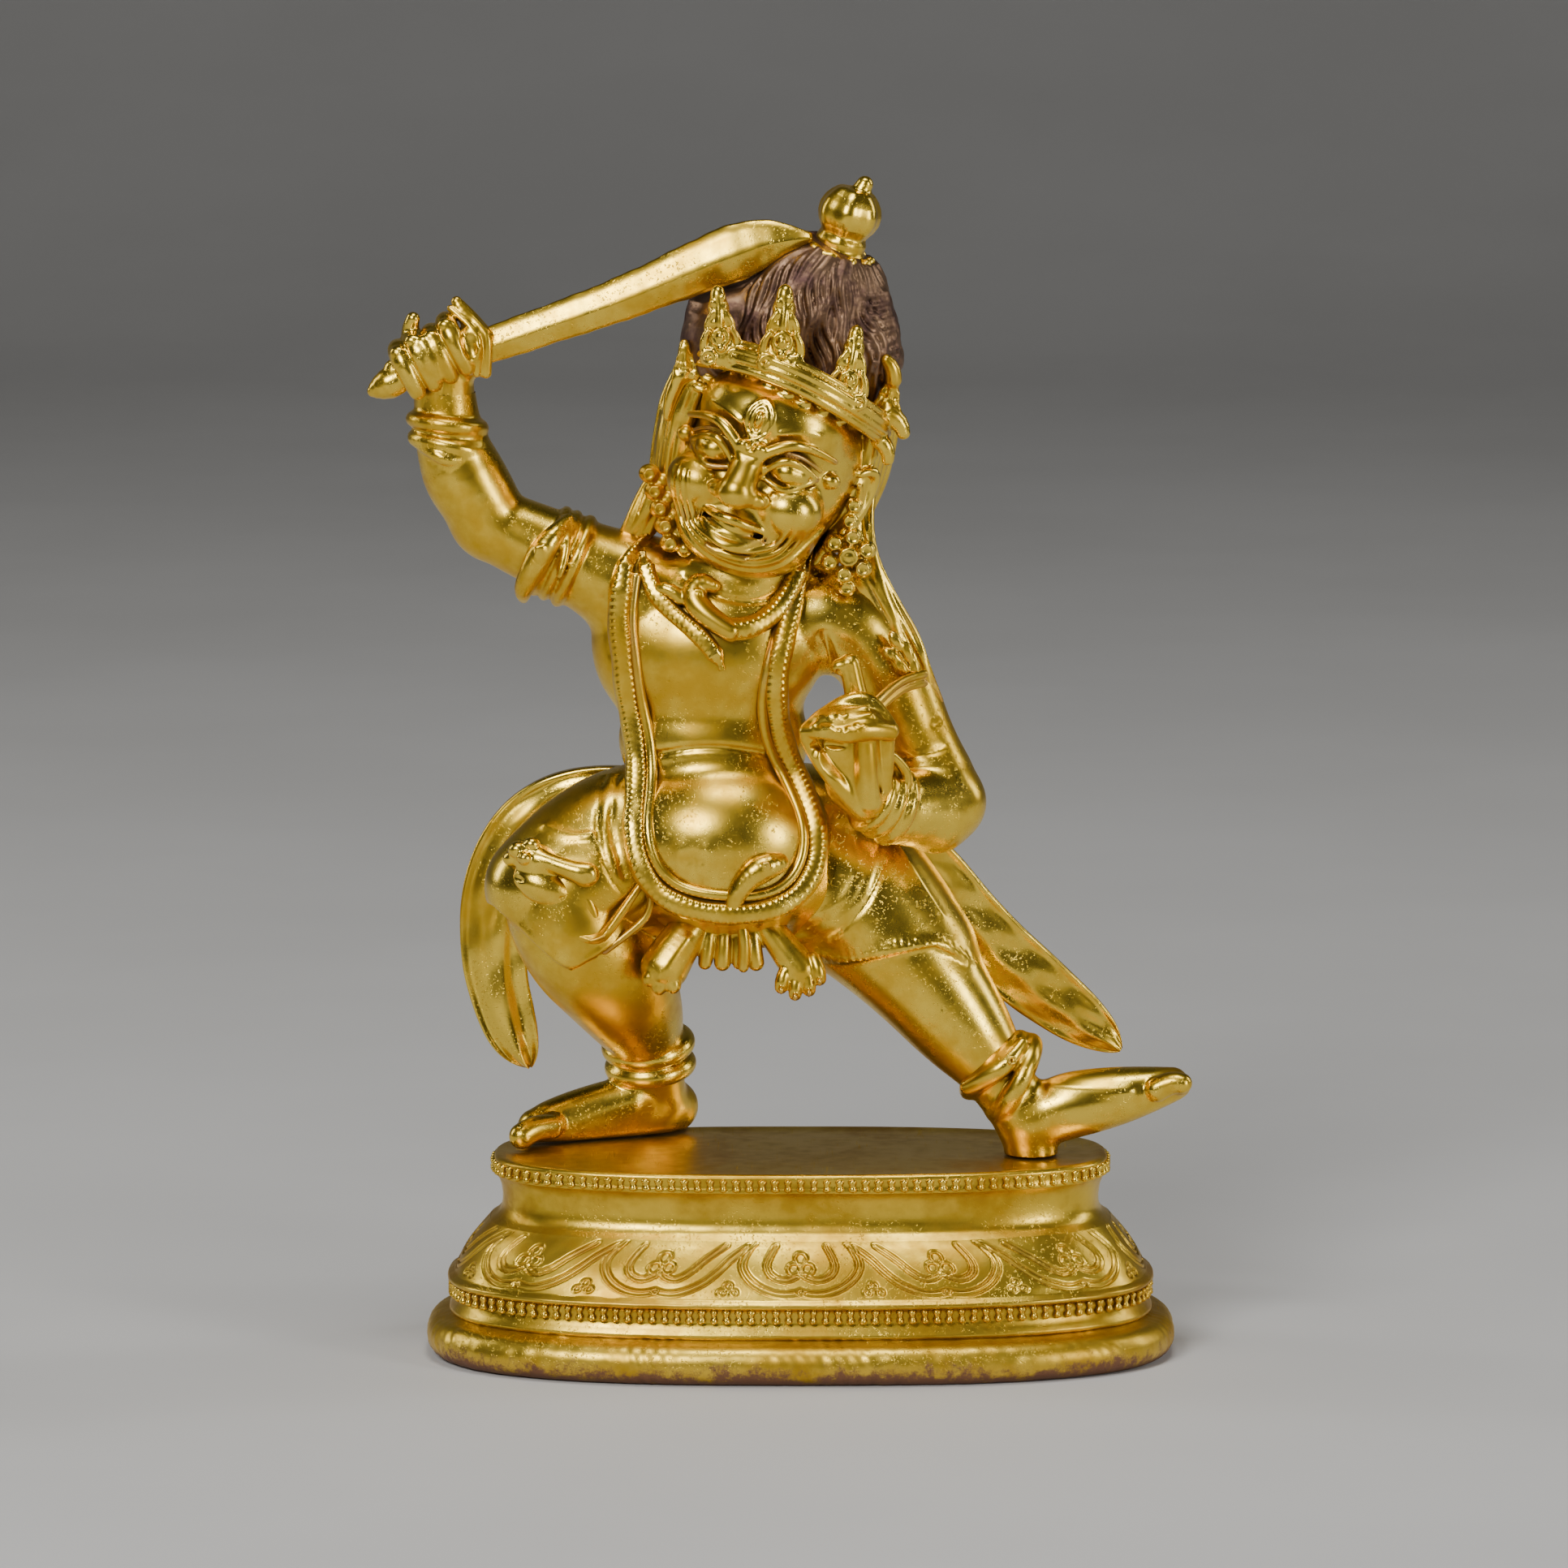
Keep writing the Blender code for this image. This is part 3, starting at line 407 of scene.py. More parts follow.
def together(parts):
    """One set of points and triangles from several."""
    verts = []
    faces = []
    start = 0
    for part_verts, part_faces in parts:
        if part_faces.shape[1] == 4:
            part_faces = np.vstack([part_faces[:, :3], part_faces[:, (0, 2, 3)]])
        verts.append(part_verts)
        faces.append(part_faces + start)
        start += len(part_verts)
    return np.vstack(verts), np.vstack(faces)


# The body

TORSO = (
    ((-8.5, 4.0, 37.5), (17.0, 11.0, 9.5)),
    ((-10.0, -2.0, 39.5), (15.0, 12.5, 8.0)),
    ((-11.5, -2.0, 46.0), (16.2, 13.5, 12.5)),
    ((-12.5, 0.5, 60.0), (13.6, 9.5, 11.0)),
    ((-12.4, 1.0, 72.5), (15.6, 9.8, 12.0)),
    ((-12.0, -2.0, 72.0), (13.0, 7.2, 10.5)),
    ((-22.0, 1.5, 74.5), (8.0, 7.5, 11.5)),
)


def shape_torso():
    wax = Wax((-57.5, -21, 30), (28, 18, 110), 0.36)
    for centre, radii in TORSO:
        wax.ball(centre, radii, 2.5)
    wax.bar([(-27, 2, 83), (-12, 3, 80), (7.5, 2, 76.4)], [6.0, 8.5, 6.2], 3.0)
    wax.bar([(-11, 2, 78), (-8, 1, 84), (-6, 0, 91)], [9.0, 8.0, 8.0], 3.0)
    wax.bar([(-24, 1.5, 82), (-34, 0.5, 86.3), (-43.2, 0.5, 90.6)], [7.2, 6.0, 5.3], 2.0)
    wax.bar([(-43.2, 0.5, 90.6), (-47.4, 0, 96.4), (-49.8, 0, 102), (-50.8, 0, 107.5),
             (-51.0, -0.3, 113)], [4.8, 6.2, 5.2, 4.5, 4.2], 0.6)
    wax.ball((-45.2, 0.5, 91.3), 4.9, 1.5)
    wax.channel([(-40.6, -5.6, 97.2), (-43.6, -6.4, 94.8), (-46.2, -5.8, 92.0)], 0.25, 0.9)
    wax.bar([(4, 2, 77.5), (9.3, 1.5, 74.6), (13.4, 1, 67), (16.6, -0.5, 59), (20.4, -2.5, 51.8),
             (19.2, -5.0, 49.8)], [7.0, 6.6, 6.2, 5.8, 6.2, 5.6], 2.0)
    wax.bar([(20.6, -3.5, 51.4), (15.8, -8, 50.5), (10.9, -11.5, 53), (7.6, -13.5, 56)],
            [6.0, 5.6, 4.4, 4.2], 0.8)
    # The crease that parts the chest from the belly, deeper at its two ends
    crease = wax.front([(-21.8, 58.5), (-17.7, 59.7), (-13.0, 60.2), (-8.3, 59.7), (-4.3, 58.7)])
    wax.raise_line(crease, 0.4, -0.8)
    # The navel, a small cross of cuts between two soft folds
    wax.raise_line(wax.front([(-16.6, 44.5), (-15.3, 44.7), (-14.0, 44.5)]), 0.28, -0.4)
    wax.raise_line(wax.front([(-15.3, 45.8), (-15.2, 44.5), (-15.4, 43.2)]), 0.28, -0.4)
    for side in (-1, 1):
        wax.raise_line(wax.front([(-15.3 + 1.9 * side, 46.4), (-15.3 + 2.6 * side, 44.6),
                                  (-15.3 + 1.7 * side, 42.6)]), 0.7, 0.16)
    # Folds at the neck, the armpits and the crook of the bent arm
    wax.raise_line(wax.front([(-15.5, 86.2), (-10.5, 83.4), (-4.5, 83.0), (0.5, 85.2)]), 0.6, 0.35)
    wax.raise_line(wax.front([(-16.8, 84.0), (-11.5, 80.9), (-4.0, 80.6), (1.5, 83.2)]), 0.6, -0.4)
    wax.raise_line(wax.front([(-28.2, 80.6), (-27.0, 76.6), (-26.8, 73.2)]), 0.9, -0.6)
    wax.raise_line(wax.front([(3.2, 75.5), (4.6, 71.5), (5.2, 68.5)]), 0.8, -0.6)
    for near, far in (((10.4, 60.6), (19.8, 63.0)), ((13.0, 58.2), (20.4, 59.4))):
        middle = ((near[0] + far[0]) / 2, (near[1] + far[1]) / 2 - 0.7)
        wax.raise_line(wax.front([near, middle, far]), 0.5, -0.4)
    return wax


def shape_ring_snakes(wax):
    """The bracelets and the snake that is tied round the raised arm."""
    wax.ring((-50.5, 0, 105.6), (0.14, 0.05, 1), 4.9, 1.15)
    wax.ring((-50.2, 0, 102.6), (0.22, 0.05, 1), 5.2, 1.0)
    wax.bar([(-55.2, -1.5, 103.4), (-52.4, -5.4, 102.0), (-49.4, -5.6, 100.4),
             (-46.2, -3.6, 101.6)], [0.8, 1.0, 0.9, 0.6], 0.4)
    axis = (1, 0, -0.42)
    for along, tube_radius in ((0.0, 0.75), (-1.5, 0.7), (1.9, 0.85)):
        wax.ring((-34.4 + along, 0.5, 86.5 - 0.42 * along), axis, 6.3, tube_radius)
    wax.bar([(-33.2, -3.6, 92.2), (-35.2, -6.4, 90.4), (-37.0, -6.9, 88.0), (-38.6, -6.3, 84.8),
             (-39.8, -4.6, 81.8), (-39.6, -2.2, 80.6)], [0.9, 1.5, 2.0, 1.7, 1.4, 0.7], 0.5)
    wax.bar([(-33.4, -4.4, 91.6), (-33.2, -6.6, 88.0), (-34.4, -7.0, 84.6)], [0.6, 0.8, 0.5], 0.3)
    wax.ring((-37.2, -8.6, 88.6), (0, 1, 0), 0.72, 0.22, 0.1)
    wax.ball((-37.2, -8.7, 88.6), 0.35, 0.1)
    wax.ring((13.2, -10.0, 51.8), (-0.85, -0.45, 0.35), 5.0, 0.9)
    wax.ring((11.6, -11.2, 52.6), (-0.83, -0.47, 0.40), 4.8, 0.8)
    wax.ring((10.2, -12.2, 53.4), (-0.80, -0.50, 0.45), 4.6, 0.75)


RIGHT_HEM = ((-44.0, 36.8), (-40.4, 34.2), (-37.6, 31.8), (-34.8, 29.4), (-32.8, 28.4), (-29.6, 30.2),
             (-25.0, 33.0), (-20.0, 34.0), (-12.0, 34.0))
LEFT_HEM = ((-2.0, 29.6), (2.3, 28.9), (5.8, 28.6), (10.0, 29.5), (14.9, 30.7), (19.1, 31.4),
            (21.9, 30.0), (24.7, 27.9))


def above(hem):
    """A form that keeps what lies above a hem, drawn as (x, z) points."""
    heights = np.array(hem)
    return lambda x, y, z: np.interp(x, heights[:, 0], heights[:, 1]) - z


def shape_legs():
    wax = Wax((-50, -18, 3), (38, 20, 58), 0.34)
    wax.bar([(-12, 4, 41), (-22, 1, 42), (-30, -2, 41), (-35.6, -4.0, 37.5), (-31.5, -3.5, 31),
             (-26.8, 0, 25.5), (-24.2, 5, 20), (-22.6, 8.5, 16), (-21.8, 12.0, 11),
             (-21.2, 14.5, 5)],
            [11.6, 11.0, 9.6, 7.6, 9.0, 8.7, 7.2, 5.6, 4.6, 4.6], 1.0)
    wax.bar([(-2, 5, 41), (4.4, 4, 38.0), (10.8, 2.5, 32.9), (17.2, 0.5, 26.2), (22.8, -1, 19.0),
             (27.0, -2, 13.6), (29.8, -2.6, 9.2), (32.4, -3, 5)],
            [11.6, 11.0, 10.0, 8.6, 7.2, 5.3, 4.5, 4.3], 1.0)
    # The tiger skin lies over both thighs down to its two hems
    wax.bar([(-14, 5, 46), (-22, 3, 46), (-31, 0, 43.5), (-37, -3, 39)],
            [11, 10.8, 9.8, 8.4], 1.2, within=above(RIGHT_HEM))
    wax.bar([(-22, 1, 42), (-31, -2, 40.4), (-34.2, -3.8, 36.5), (-31.4, -3.5, 31), (-27, 0, 25.5)],
            [11.0, 10.3, 9.0, 10.0, 9.7], 0.0, within=above(RIGHT_HEM))
    wax.bar([(0, 6, 44), (6, 5, 38.5), (11, 3.2, 33.8), (15.5, 1.4, 28)],
            [11.5, 11.8, 11.0, 10.2], 1.2, within=above(LEFT_HEM))
    wax.ring((-8.5, 3.5, 49.5), (0.08, 0.15, 1), 17.2, 1.6, 1.5, squash=0.72)
    wax.bar([(-16, 9, 50), (-24, 9, 50), (-31, 9.5, 49)], [2.5, 3.0, 3.0], 1.5)
    for line, width, height in (
        (((10.0, 50.4), (11.6, 46.2), (10.0, 41.4), (7.4, 36.6), (3.6, 32.9), (-1.2, 31.3)), 0.6, 0.3),
        (((11.5, 49.6), (12.6, 45.0), (11.0, 40.0), (8.2, 35.4), (4.4, 31.9)), 0.4, -0.35),
        (((7.4, 50.2), (8.6, 41.0), (5.1, 36.7), (0.9, 34.6), (-4.0, 33.2)), 0.6, 0.25),
        (((-28.2, 54.8), (-29.2, 50.6), (-28.9, 45.6), (-27.1, 41.4), (-25.4, 39.6)), 0.4, -0.3),
        (((-27.2, 55.0), (-28.2, 50.7), (-27.9, 46.0), (-26.2, 41.4)), 0.4, 0.25),
        (((-26.2, 55.0), (-27.2, 50.7), (-26.9, 46.5), (-25.2, 41.8)), 0.4, -0.3),
        (((13.2, 46.0), (16.7, 40.1), (20.2, 35.4)), 0.7, 0.25),
        (((-30.0, 47.5), (-33.5, 46.6), (-36.5, 48.4)), 0.6, 0.5),
    ):
        wax.raise_line(wax.front(line), width, height)
    # Both hems have a raised edge, and the one on the stretched leg is stitched
    for hem, stitched in ((RIGHT_HEM[1:7], False), (LEFT_HEM[1:], True)):
        edge = smooth_path([(x, z, 0) for x, z in hem], 1.0)
        places = wax.front([(x, z + 0.5) for x, z, _ in edge])
        wax.raise_line(places, 0.35, 0.22)
        if stitched:
            for x, y, z in places:
                wax.raise_line([(x - 0.25, y, z + 1.0), (x + 0.25, y, z - 0.7)], 0.24, 0.3)
    return wax


def shape_tiger():
    """The mask on the knee, the paws, the knot and the loose flap of the tiger skin."""
    wax = Wax((-44, -17, 22), (5, -2, 50), 0.21)
    wax.ball((-37.6, -9.4, 43.6), (3.8, 3.2, 2.6), 1.4, (0, 25, 0))
    wax.ball((-36.2, -9.8, 40.0), (5.2, 3.3, 2.9), 0.8, (0, 24, 0))
    for x, y, z, r in ((-40.4, -10.6, 45.6, 1.4), (-39.4, -12.0, 44.6, 1.1), (-41.4, -9.6, 44.2, 1.2),
                       (-38.4, -10.8, 46.4, 1.2)):
        wax.ball((x, y, z), (r, r, r * 0.9), 0.35)
    wax.raise_line([(-40.6, -12.2, 45.4), (-39.8, -12.8, 44.2), (-40.8, -11.8, 43.4)], 0.25, -0.3)
    wax.bar([(-37.6, -11.0, 44.6), (-34.2, -12.6, 43.4), (-31.8, -13.0, 42.8)],
            [1.3, 1.25, 1.5], 0.6)
    wax.ball((-30.6, -13.0, 42.4), (1.9, 1.6, 1.8), 0.5)
    wax.dent((-30.4, -15.2, 42.2), 0.8, 0.3)
    for shift in (0.0, -1.5):
        wax.raise_line(wax.front([(-40.6, 41.6 + shift), (-36.8, 40.6 + shift * 1.1),
                                  (-32.8, 38.2 + shift)]), 0.34, -0.45)
    wax.bar([(-38.6, -9.2, 36.8), (-34.5, -10.8, 35.4), (-29.5, -10.6, 34.2)], [1.3, 1.5, 1.2], 1.2)
    wax.bar([(-32.5, -11.2, 41.0), (-30.0, -11.6, 38.6), (-29.4, -11.4, 35.6)], [0.8, 1.0, 0.8], 0.8)
    wax.bar([(-15.0, -7.6, 35), (-17.4, -9.4, 32.0), (-19.4, -9.9, 28.6)], [2.6, 3.1, 3.5], 0.8)
    wax.raise_line(wax.front([(-16.2, 32.8), (-18.4, 30.4), (-20.0, 27.6)]), 0.7, 0.35)
    for x, z in ((-21.6, 27.2), (-20.2, 26.0), (-18.2, 26.2)):
        wax.ball((x, -11.6, z), (1.15, 1.2, 1.3), 0.35)
    wax.ring((-19.3, -12.9, 28.6), (0, 1, 0.2), 0.9, 0.25, 0.15)
    wax.bar([(-4.6, -8.4, 34), (-2.0, -9.0, 30.6), (0.0, -9.2, 28.0)], [2.0, 2.3, 2.7], 0.7)
    for x, z in ((-2.8, 26.0), (-0.8, 25.0), (1.2, 25.6), (2.7, 27.2)):
        wax.bar([(x * 0.7, -10.2, z + 2.6), (x, -11.2, z + 0.8), (x, -10.8, z - 0.3)],
                [0.9, 1.15, 0.95], 0.25)
        wax.ball((x, -12.1, z - 0.5), (0.4, 0.5, 0.6), 0.1)
    # The knot hangs in four folds between the paws
    for fold, (x, spread) in enumerate(((-13.2, 0.5), (-11.0, 0.2), (-8.9, -0.1), (-6.9, -0.5))):
        wax.bar([(x * 0.96 - 0.3, -8.2, 35.2), (x, -9.2 - 0.3 * (fold % 2), 32),
                 (x - spread, -9.3, 29.0)], [1.0, 1.2, 1.0 + 0.2 * (fold % 2)], 0.35)
    wax.bar([(-13.8, -8.0, 34.6), (-10.0, -9.2, 34.0), (-5.4, -8.2, 34.8)], [1.4, 1.5, 1.4], 0.5)
    wax.bar([(-8.4, -10.4, 34.8), (-7.8, -10.8, 31.6), (-8.2, -10.6, 28.6)], [0.8, 0.9, 0.8], 0.3)
    # The flap that hangs beside the bent thigh, with a hatched edge
    flap = [(-22.6, -11.0, 41.0), (-25.0, -11.8, 37.6), (-27.4, -12.2, 34.2), (-28.8, -12.4, 32.8),
            (-32.0, -12.6, 33.2), (-36.6, -11.2, 34.8)]
    wax.bar(flap, [0.5, 0.7, 0.8, 0.8, 0.7, 0.4], 1.0)
    wax.bar([(-21.4, -10.6, 40.4), (-21.2, -10.8, 37.0), (-23.4, -11.0, 34.4),
             (-28.0, -11.4, 31.0)], [0.5, 0.6, 0.6, 0.5], 1.1)
    for x, y, z in smooth_path(flap, 0.8):
        wax.raise_line([(x - 0.9, y - 1.1, z - 0.3), (x + 0.9, y - 1.1, z + 0.4)], 0.22, 0.25)
    return wax


SOLE = 0.15    # the height above the rim of the plate at which both soles are cut flat


def shape_right_foot():
    wax = Wax((-46, -2, -1), (-13, 22, 17), 0.2)
    wax.bar([(-22.6, 8.5, 16), (-21.8, 12.0, 11), (-21.2, 14.5, 5)], [5.4, 4.6, 4.6], 1.0)
    wax.bar([(-18.8, 17.0, 3.4), (-21.6, 14.5, 3.8), (-28, 11.6, 3.4), (-35, 8.4, 2.6),
             (-38.4, 6.8, 2.2)], [3.9, 4.6, 4.2, 3.6, 2.6], 1.5)
    wax.bar([(-25, 10.6, 5.6), (-31, 9.4, 4.8), (-36, 7.6, 3.4)], [3.4, 2.8, 2.0], 1.5)
    for number in range(5):
        spread = number - 2.0
        root = np.array((-36.2 + 0.5 * number, 6.6 + spread * 1.5, 2.8))
        tip = np.array((-40.2 + 0.8 * number, 5.0 + spread * 2.1, 1.9))
        thick = 1.9 if number == 0 else 1.55
        wax.bar([root, root * 0.35 + tip * 0.65 + (0, 0, 0.8), tip], [1.8, thick, thick], 0.25)
        away = (tip - root) / np.linalg.norm(tip - root)
        nail = tip + away * thick * 0.45 + (0, 0, thick * 0.72)
        wax.raise_line([nail + (0.5, 0.5, 0.1), nail - away * 0.7, nail + (0.2, -0.6, 0.1)],
                       0.2, -0.3)
    wax.ring((-22.1, 10.6, 13.6), (0.10, 0.28, -1), 5.4, 1.5)
    wax.ring((-21.8, 11.8, 10.4), (0.08, 0.22, -1), 5.3, 1.45)
    wax.bar([(-26.4, 7.6, 13.8), (-22.2, 6.0, 13.6), (-18.6, 7.2, 13.0)], [1.0, 1.7, 1.3], 0.4)
    wax.ring((-21.4, 4.3, 13.6), (0, 1, 0), 0.62, 0.2, 0.1)
    wax.channel([(-27.0, 7.0, 12.2), (-22.0, 5.4, 11.9), (-17.4, 7.4, 11.4)], 0.28, 0.3)
    wax.stand_on(SOLE)
    return wax


def shape_left_foot():
    wax = Wax((22, -11, -1), (59.5, 5, 18), 0.2)
    wax.bar([(24.9, -1.5, 16.3), (27.0, -2, 13.6), (29.8, -2.6, 9.2), (32.4, -3, 5)],
            [5.6, 5.3, 4.5, 4.3], 1.0)
    wax.bar([(32.8, -3, 4.6), (37, -3, 6.8), (43, -3, 8.0), (49, -3, 9.2), (53.4, -3, 10.2)],
            [4.2, 4.9, 4.6, 3.6, 2.5], 1.5)
    wax.bar([(33, -3, 3.6), (33.2, -3, -1)], [3.8, 3.9], 1.0)
    for number in range(5):
        spread = number - 2.0
        root = np.array((51.2, -3 + spread * 1.55, 10.0 - 0.35 * number))
        tip = np.array((55.4 - 0.35 * abs(spread) - 0.4 * number, -3 + spread * 1.85,
                        11.0 - 0.55 * number))
        wax.bar([root, root * 0.4 + tip * 0.6 + (0, 0, 0.8), tip], [1.8, 1.65, 1.5], 0.25)
        nail = tip + (0.2, 0, 1.15)
        wax.raise_line([nail + (0, 0.6, -0.2), nail - (0.8, 0, 0), nail + (0, -0.6, -0.2)], 0.2, -0.3)
    for along, tilt in ((0.0, (0.72, -0.1, -0.72)), (2.8, (0.90, 0.1, -0.48))):
        wax.ring((27.9 + along, -2.2 - along * 0.14, 12.9 - along * 0.62), tilt,
                 5.2 + along * 0.14, 1.45)
    wax.bar([(24.0, -6.0, 10.4), (27.0, -8.0, 12.2), (30.2, -8.0, 14.6), (31.8, -6.4, 16.8)],
            [1.2, 1.5, 1.4, 0.9], 0.4)
    wax.ring((30.3, -9.4, 14.8), (0, 1, 0), 0.6, 0.2, 0.1)
    wax.raise_line(wax.front([(36.0, 10.4), (41.0, 9.6), (47.0, 9.9)]), 0.7, 0.25)
    wax.stand_on(SOLE)
    return wax


def shape_sword_hand():
    """The raised hand with the sword's grip, pommel and guard."""
    wax = Wax((-63.5, -10, 106), (-42, 7, 125), 0.2)
    wax.bar([(-50.8, 0, 106.5), (-51.0, -0.4, 112)], [4.4, 4.3], 0.8)
    wax.ball((-51, -0.2, 115.5), (4.4, 4.2, 4.6), 1.0)
    for x, depth in ((-53.6, 0.35), (-50.9, 0.4), (-48.6, 0.3)):
        wax.raise_line([(x, -4.4, 108.2), (x + 0.2, -4.6, 112.2)], 0.6, -depth)
    low = np.array((-59.3, -3.2, 111.4))
    top = np.array((-45.2, -3.2, 118.2))
    along = (top - low) / np.linalg.norm(top - low)
    up = np.array((-along[2], 0, along[0]))
    away = np.array((0, 1.0, 0))
    # Four fingers closed round the grip, the first one raised
    for number in range(4):
        knuckle = low + along * (4.0 + 2.6 * number)
        rise = 3.4 + 0.6 * (number % 2)
        wax.bar([knuckle + up * rise + away * 3.2, knuckle + up * (rise + 1.0) - away * 1.0,
                 knuckle + up * 0.8 - away * 3.1, knuckle - up * 2.6 - away * 1.8],
                [1.45, 1.6, 1.55, 1.25], 0.25)
        wax.ball(knuckle + up * (rise + 0.2) - away * 2.4, (1.2, 1.0, 1.0), 0.3)
    wax.bar([(-55.4, -1.2, 117.2), (-55.9, -2.8, 119.2), (-55.2, -3.6, 121.0)], [1.5, 1.3, 1.0], 0.4)
    wax.bar([(-53.8, -5.6, 117.6), (-52.4, -6.3, 115.6), (-51.6, -5.6, 113.2)], [1.3, 1.5, 1.2], 0.3)
    wax.bar([(-49.5, 1, 112), (-46.6, -3.4, 113.4), (-46.6, -5.2, 116.8)], [1.9, 1.7, 1.3], 0.5)
    # The pommel, a worn cone with a collar, and the three-cornered guard
    wax.bar([low - along * 1.8, low - along * 0.4, low + along * 1.6, low + along * 3.4],
            [0.9, 1.9, 2.5, 1.5], 0.4)
    wax.bar([low + along * 2.2 + up * 1.6, low + along * 3.6 + up * 0.2,
             low + along * 4.4 - up * 1.8], [1.4, 1.6, 1.3], 0.4)
    wax.bar([low, top], 1.6, 0.3)
    peak = top + np.array((-3.4, 0.2, 4.4))
    foot = top + np.array((-0.2, -0.6, -4.6))
    wax.bar([peak + (-0.4, 0, 0.8), peak, (peak + top) / 2, top], [0.8, 1.1, 1.5, 1.6], 0.4)
    wax.bar([top + (-1.6, -0.4, 0.6), top + (-1.2, -0.8, -2.2), foot], [1.9, 1.9, 1.0], 0.4)
    rim = [peak, top + (0.4, -1.4, 1.4), top + (0.8, -1.7, -1.4), foot + (0.6, -0.4, -0.3)]
    wax.bar(rim, [0.7, 0.62, 0.62, 0.8], 0.12)
    wax.bar([p + (-1.3, -0.5, -0.1) for p in rim], [0.5, 0.5, 0.5, 0.5], 0.12)
    wax.dent(top + (-1.9, -3.2, -0.6), (1.1, 1.0, 2.2), 0.4, (0, -18, 0))
    return wax


def shape_cup_hand():
    """The folded skull cup and the hand beneath it."""
    wax = Wax((-3.5, -25, 46), (19.5, -4.5, 76), 0.2)
    wax.bar([(13.6, -9.6, 51.2), (10.9, -11.5, 53), (7.6, -13.5, 56)], [5.0, 4.4, 4.2], 0.8)
    # The cup narrows from its lip to the hand, with a ridge between two faces
    wax.bar([(5.4, -15.4, 62.4), (7.0, -15.0, 58.0), (9.6, -14.2, 53.2)], [3.2, 3.0, 2.8], 0.8)
    wax.bar([(10.0, -15.6, 62.6), (10.4, -15.2, 58.0), (10.8, -14.4, 53.4)], [2.6, 2.4, 2.3], 0.8)
    wax.bar([(9.2, -18.6, 62.6), (9.5, -18.6, 58.6), (9.7, -17.0, 53.6)], [1.5, 1.6, 1.7], 1.4)
    wax.bar([(0.9, -18.4, 62.8), (3.5, -18.2, 57.6), (8.8, -16.0, 52.2)], [1.1, 1.25, 1.5], 0.6)
    wax.bar([(12.3, -17.2, 63.0), (12.2, -17.0, 59.6), (12.0, -15.4, 55.4)], [1.1, 1.0, 1.2], 0.6)
    wax.dent((4.6, -21.6, 59.8), (2.4, 2.6, 4.4), 0.8, (0, -26, 0))
    wax.channel([(8.0, -20.9, 61.0), (8.0, -20.6, 58.4), (7.8, -19.6, 55.6)], 0.35, 0.5)
    wax.channel([(11.1, -19.4, 61.0), (11.1, -18.8, 58.0), (11.1, -17.2, 55.0)], 0.35, 0.5)
    # The folded lip: a far fold up to its peak and a near fold over it
    wax.bar([(0.8, -18.2, 64.2), (4.6, -16.8, 66.8), (8.8, -15.8, 68.2), (11.4, -16.2, 65.8),
             (12.6, -17.6, 64.0)], [0.9, 1.4, 1.5, 1.4, 1.3], 0.5)
    wax.bar([(0.6, -18.6, 63.8), (3.8, -20.3, 64.2), (6.4, -20.8, 63.6), (9.4, -20.2, 64.6),
             (12.6, -18.2, 63.8)], [0.9, 1.35, 1.4, 1.6, 1.3], 0.4)
    wax.ball((6.6, -18.2, 65.4), (5.0, 2.6, 2.0), 0.8)
    wax.bar([(2.0, -19.6, 64.8), (5.2, -19.4, 66.4), (9.2, -18.6, 67.0)], [0.5, 0.7, 0.6], 0.3)
    wax.bar([(3.6, -20.8, 64.6), (6.4, -20.6, 65.6), (9.8, -19.6, 66.2)], [0.5, 0.7, 0.6], 0.3)
    for row, (x, z) in enumerate(((2.2, 64.4), (3.5, 64.5), (4.8, 64.4), (6.0, 64.0), (7.2, 64.4),
                                  (8.4, 64.8), (4.4, 65.8), (5.8, 66.1))):
        places = wax.front([(x - 0.5, z + 0.4), (x, z - 0.3), (x + 0.6, z + 0.3 * (row % 2))])
        wax.raise_line(places, 0.26, 0.34)
    wax.dent((4.2, -20.4, 61.8), (3.2, 2.8, 1.1), 0.3, (0, 4, 0))
    wax.dent((5.0, -19.8, 59.6), (2.0, 1.8, 2.6), 0.8, (0, -20, 0))
    wax.dent((1.8, -20.6, 61.0), (1.0, 1.6, 1.4), 0.4)
    # The thumb's loop and the wrist below it
    wax.bar([(12.6, -15.6, 60.2), (15.0, -13.8, 58.0), (15.3, -13.2, 55.0), (13.0, -14.6, 52.4)],
            [0.7, 0.75, 0.8, 0.9], 0.25)
    wax.dent((13.7, -15.6, 56.4), (0.8, 1.8, 1.5), 0.2)
    for lift in (0.0, 1.1):
        wax.bar([(9.4, -16.6 + lift, 51.8 - lift), (13.2, -15.4 + lift, 51.6 - lift),
                 (16.4, -12.4 + lift, 54.0 - lift)], [0.6, 0.7, 0.5], 0.3)
    # The worn knob that rises behind the lip
    wax.bar([(8.2, -12.6, 66), (7.6, -12.8, 70.0), (6.9, -12.8, 72.6)], [1.9, 1.4, 1.6], 0.5)
    wax.ball((5.5, -12.8, 72.3), (1.2, 1.2, 1.2), 0.4)
    wax.dent((5.2, -14.2, 71.6), (0.5, 0.8, 0.5), 0.2)
    wax.raise_line([(6.9, -14.4, 72.4), (7.2, -14.4, 70.4), (7.8, -14.4, 68.6)], 0.35, -0.35)
    # The thin strap from the lip up to the arm
    for shift in (0.0, 1.3):
        wax.bar([(10.2, -14.8, 67.0 - shift), (12.8, -10.6, 69.0 - shift), (15.4, -7.2, 70.0 - shift),
                 (17.6, -5.4, 70.2 - shift)], [0.7, 0.62, 0.6, 0.6], 0.25)
    return wax


# The head, drawn in its own frame

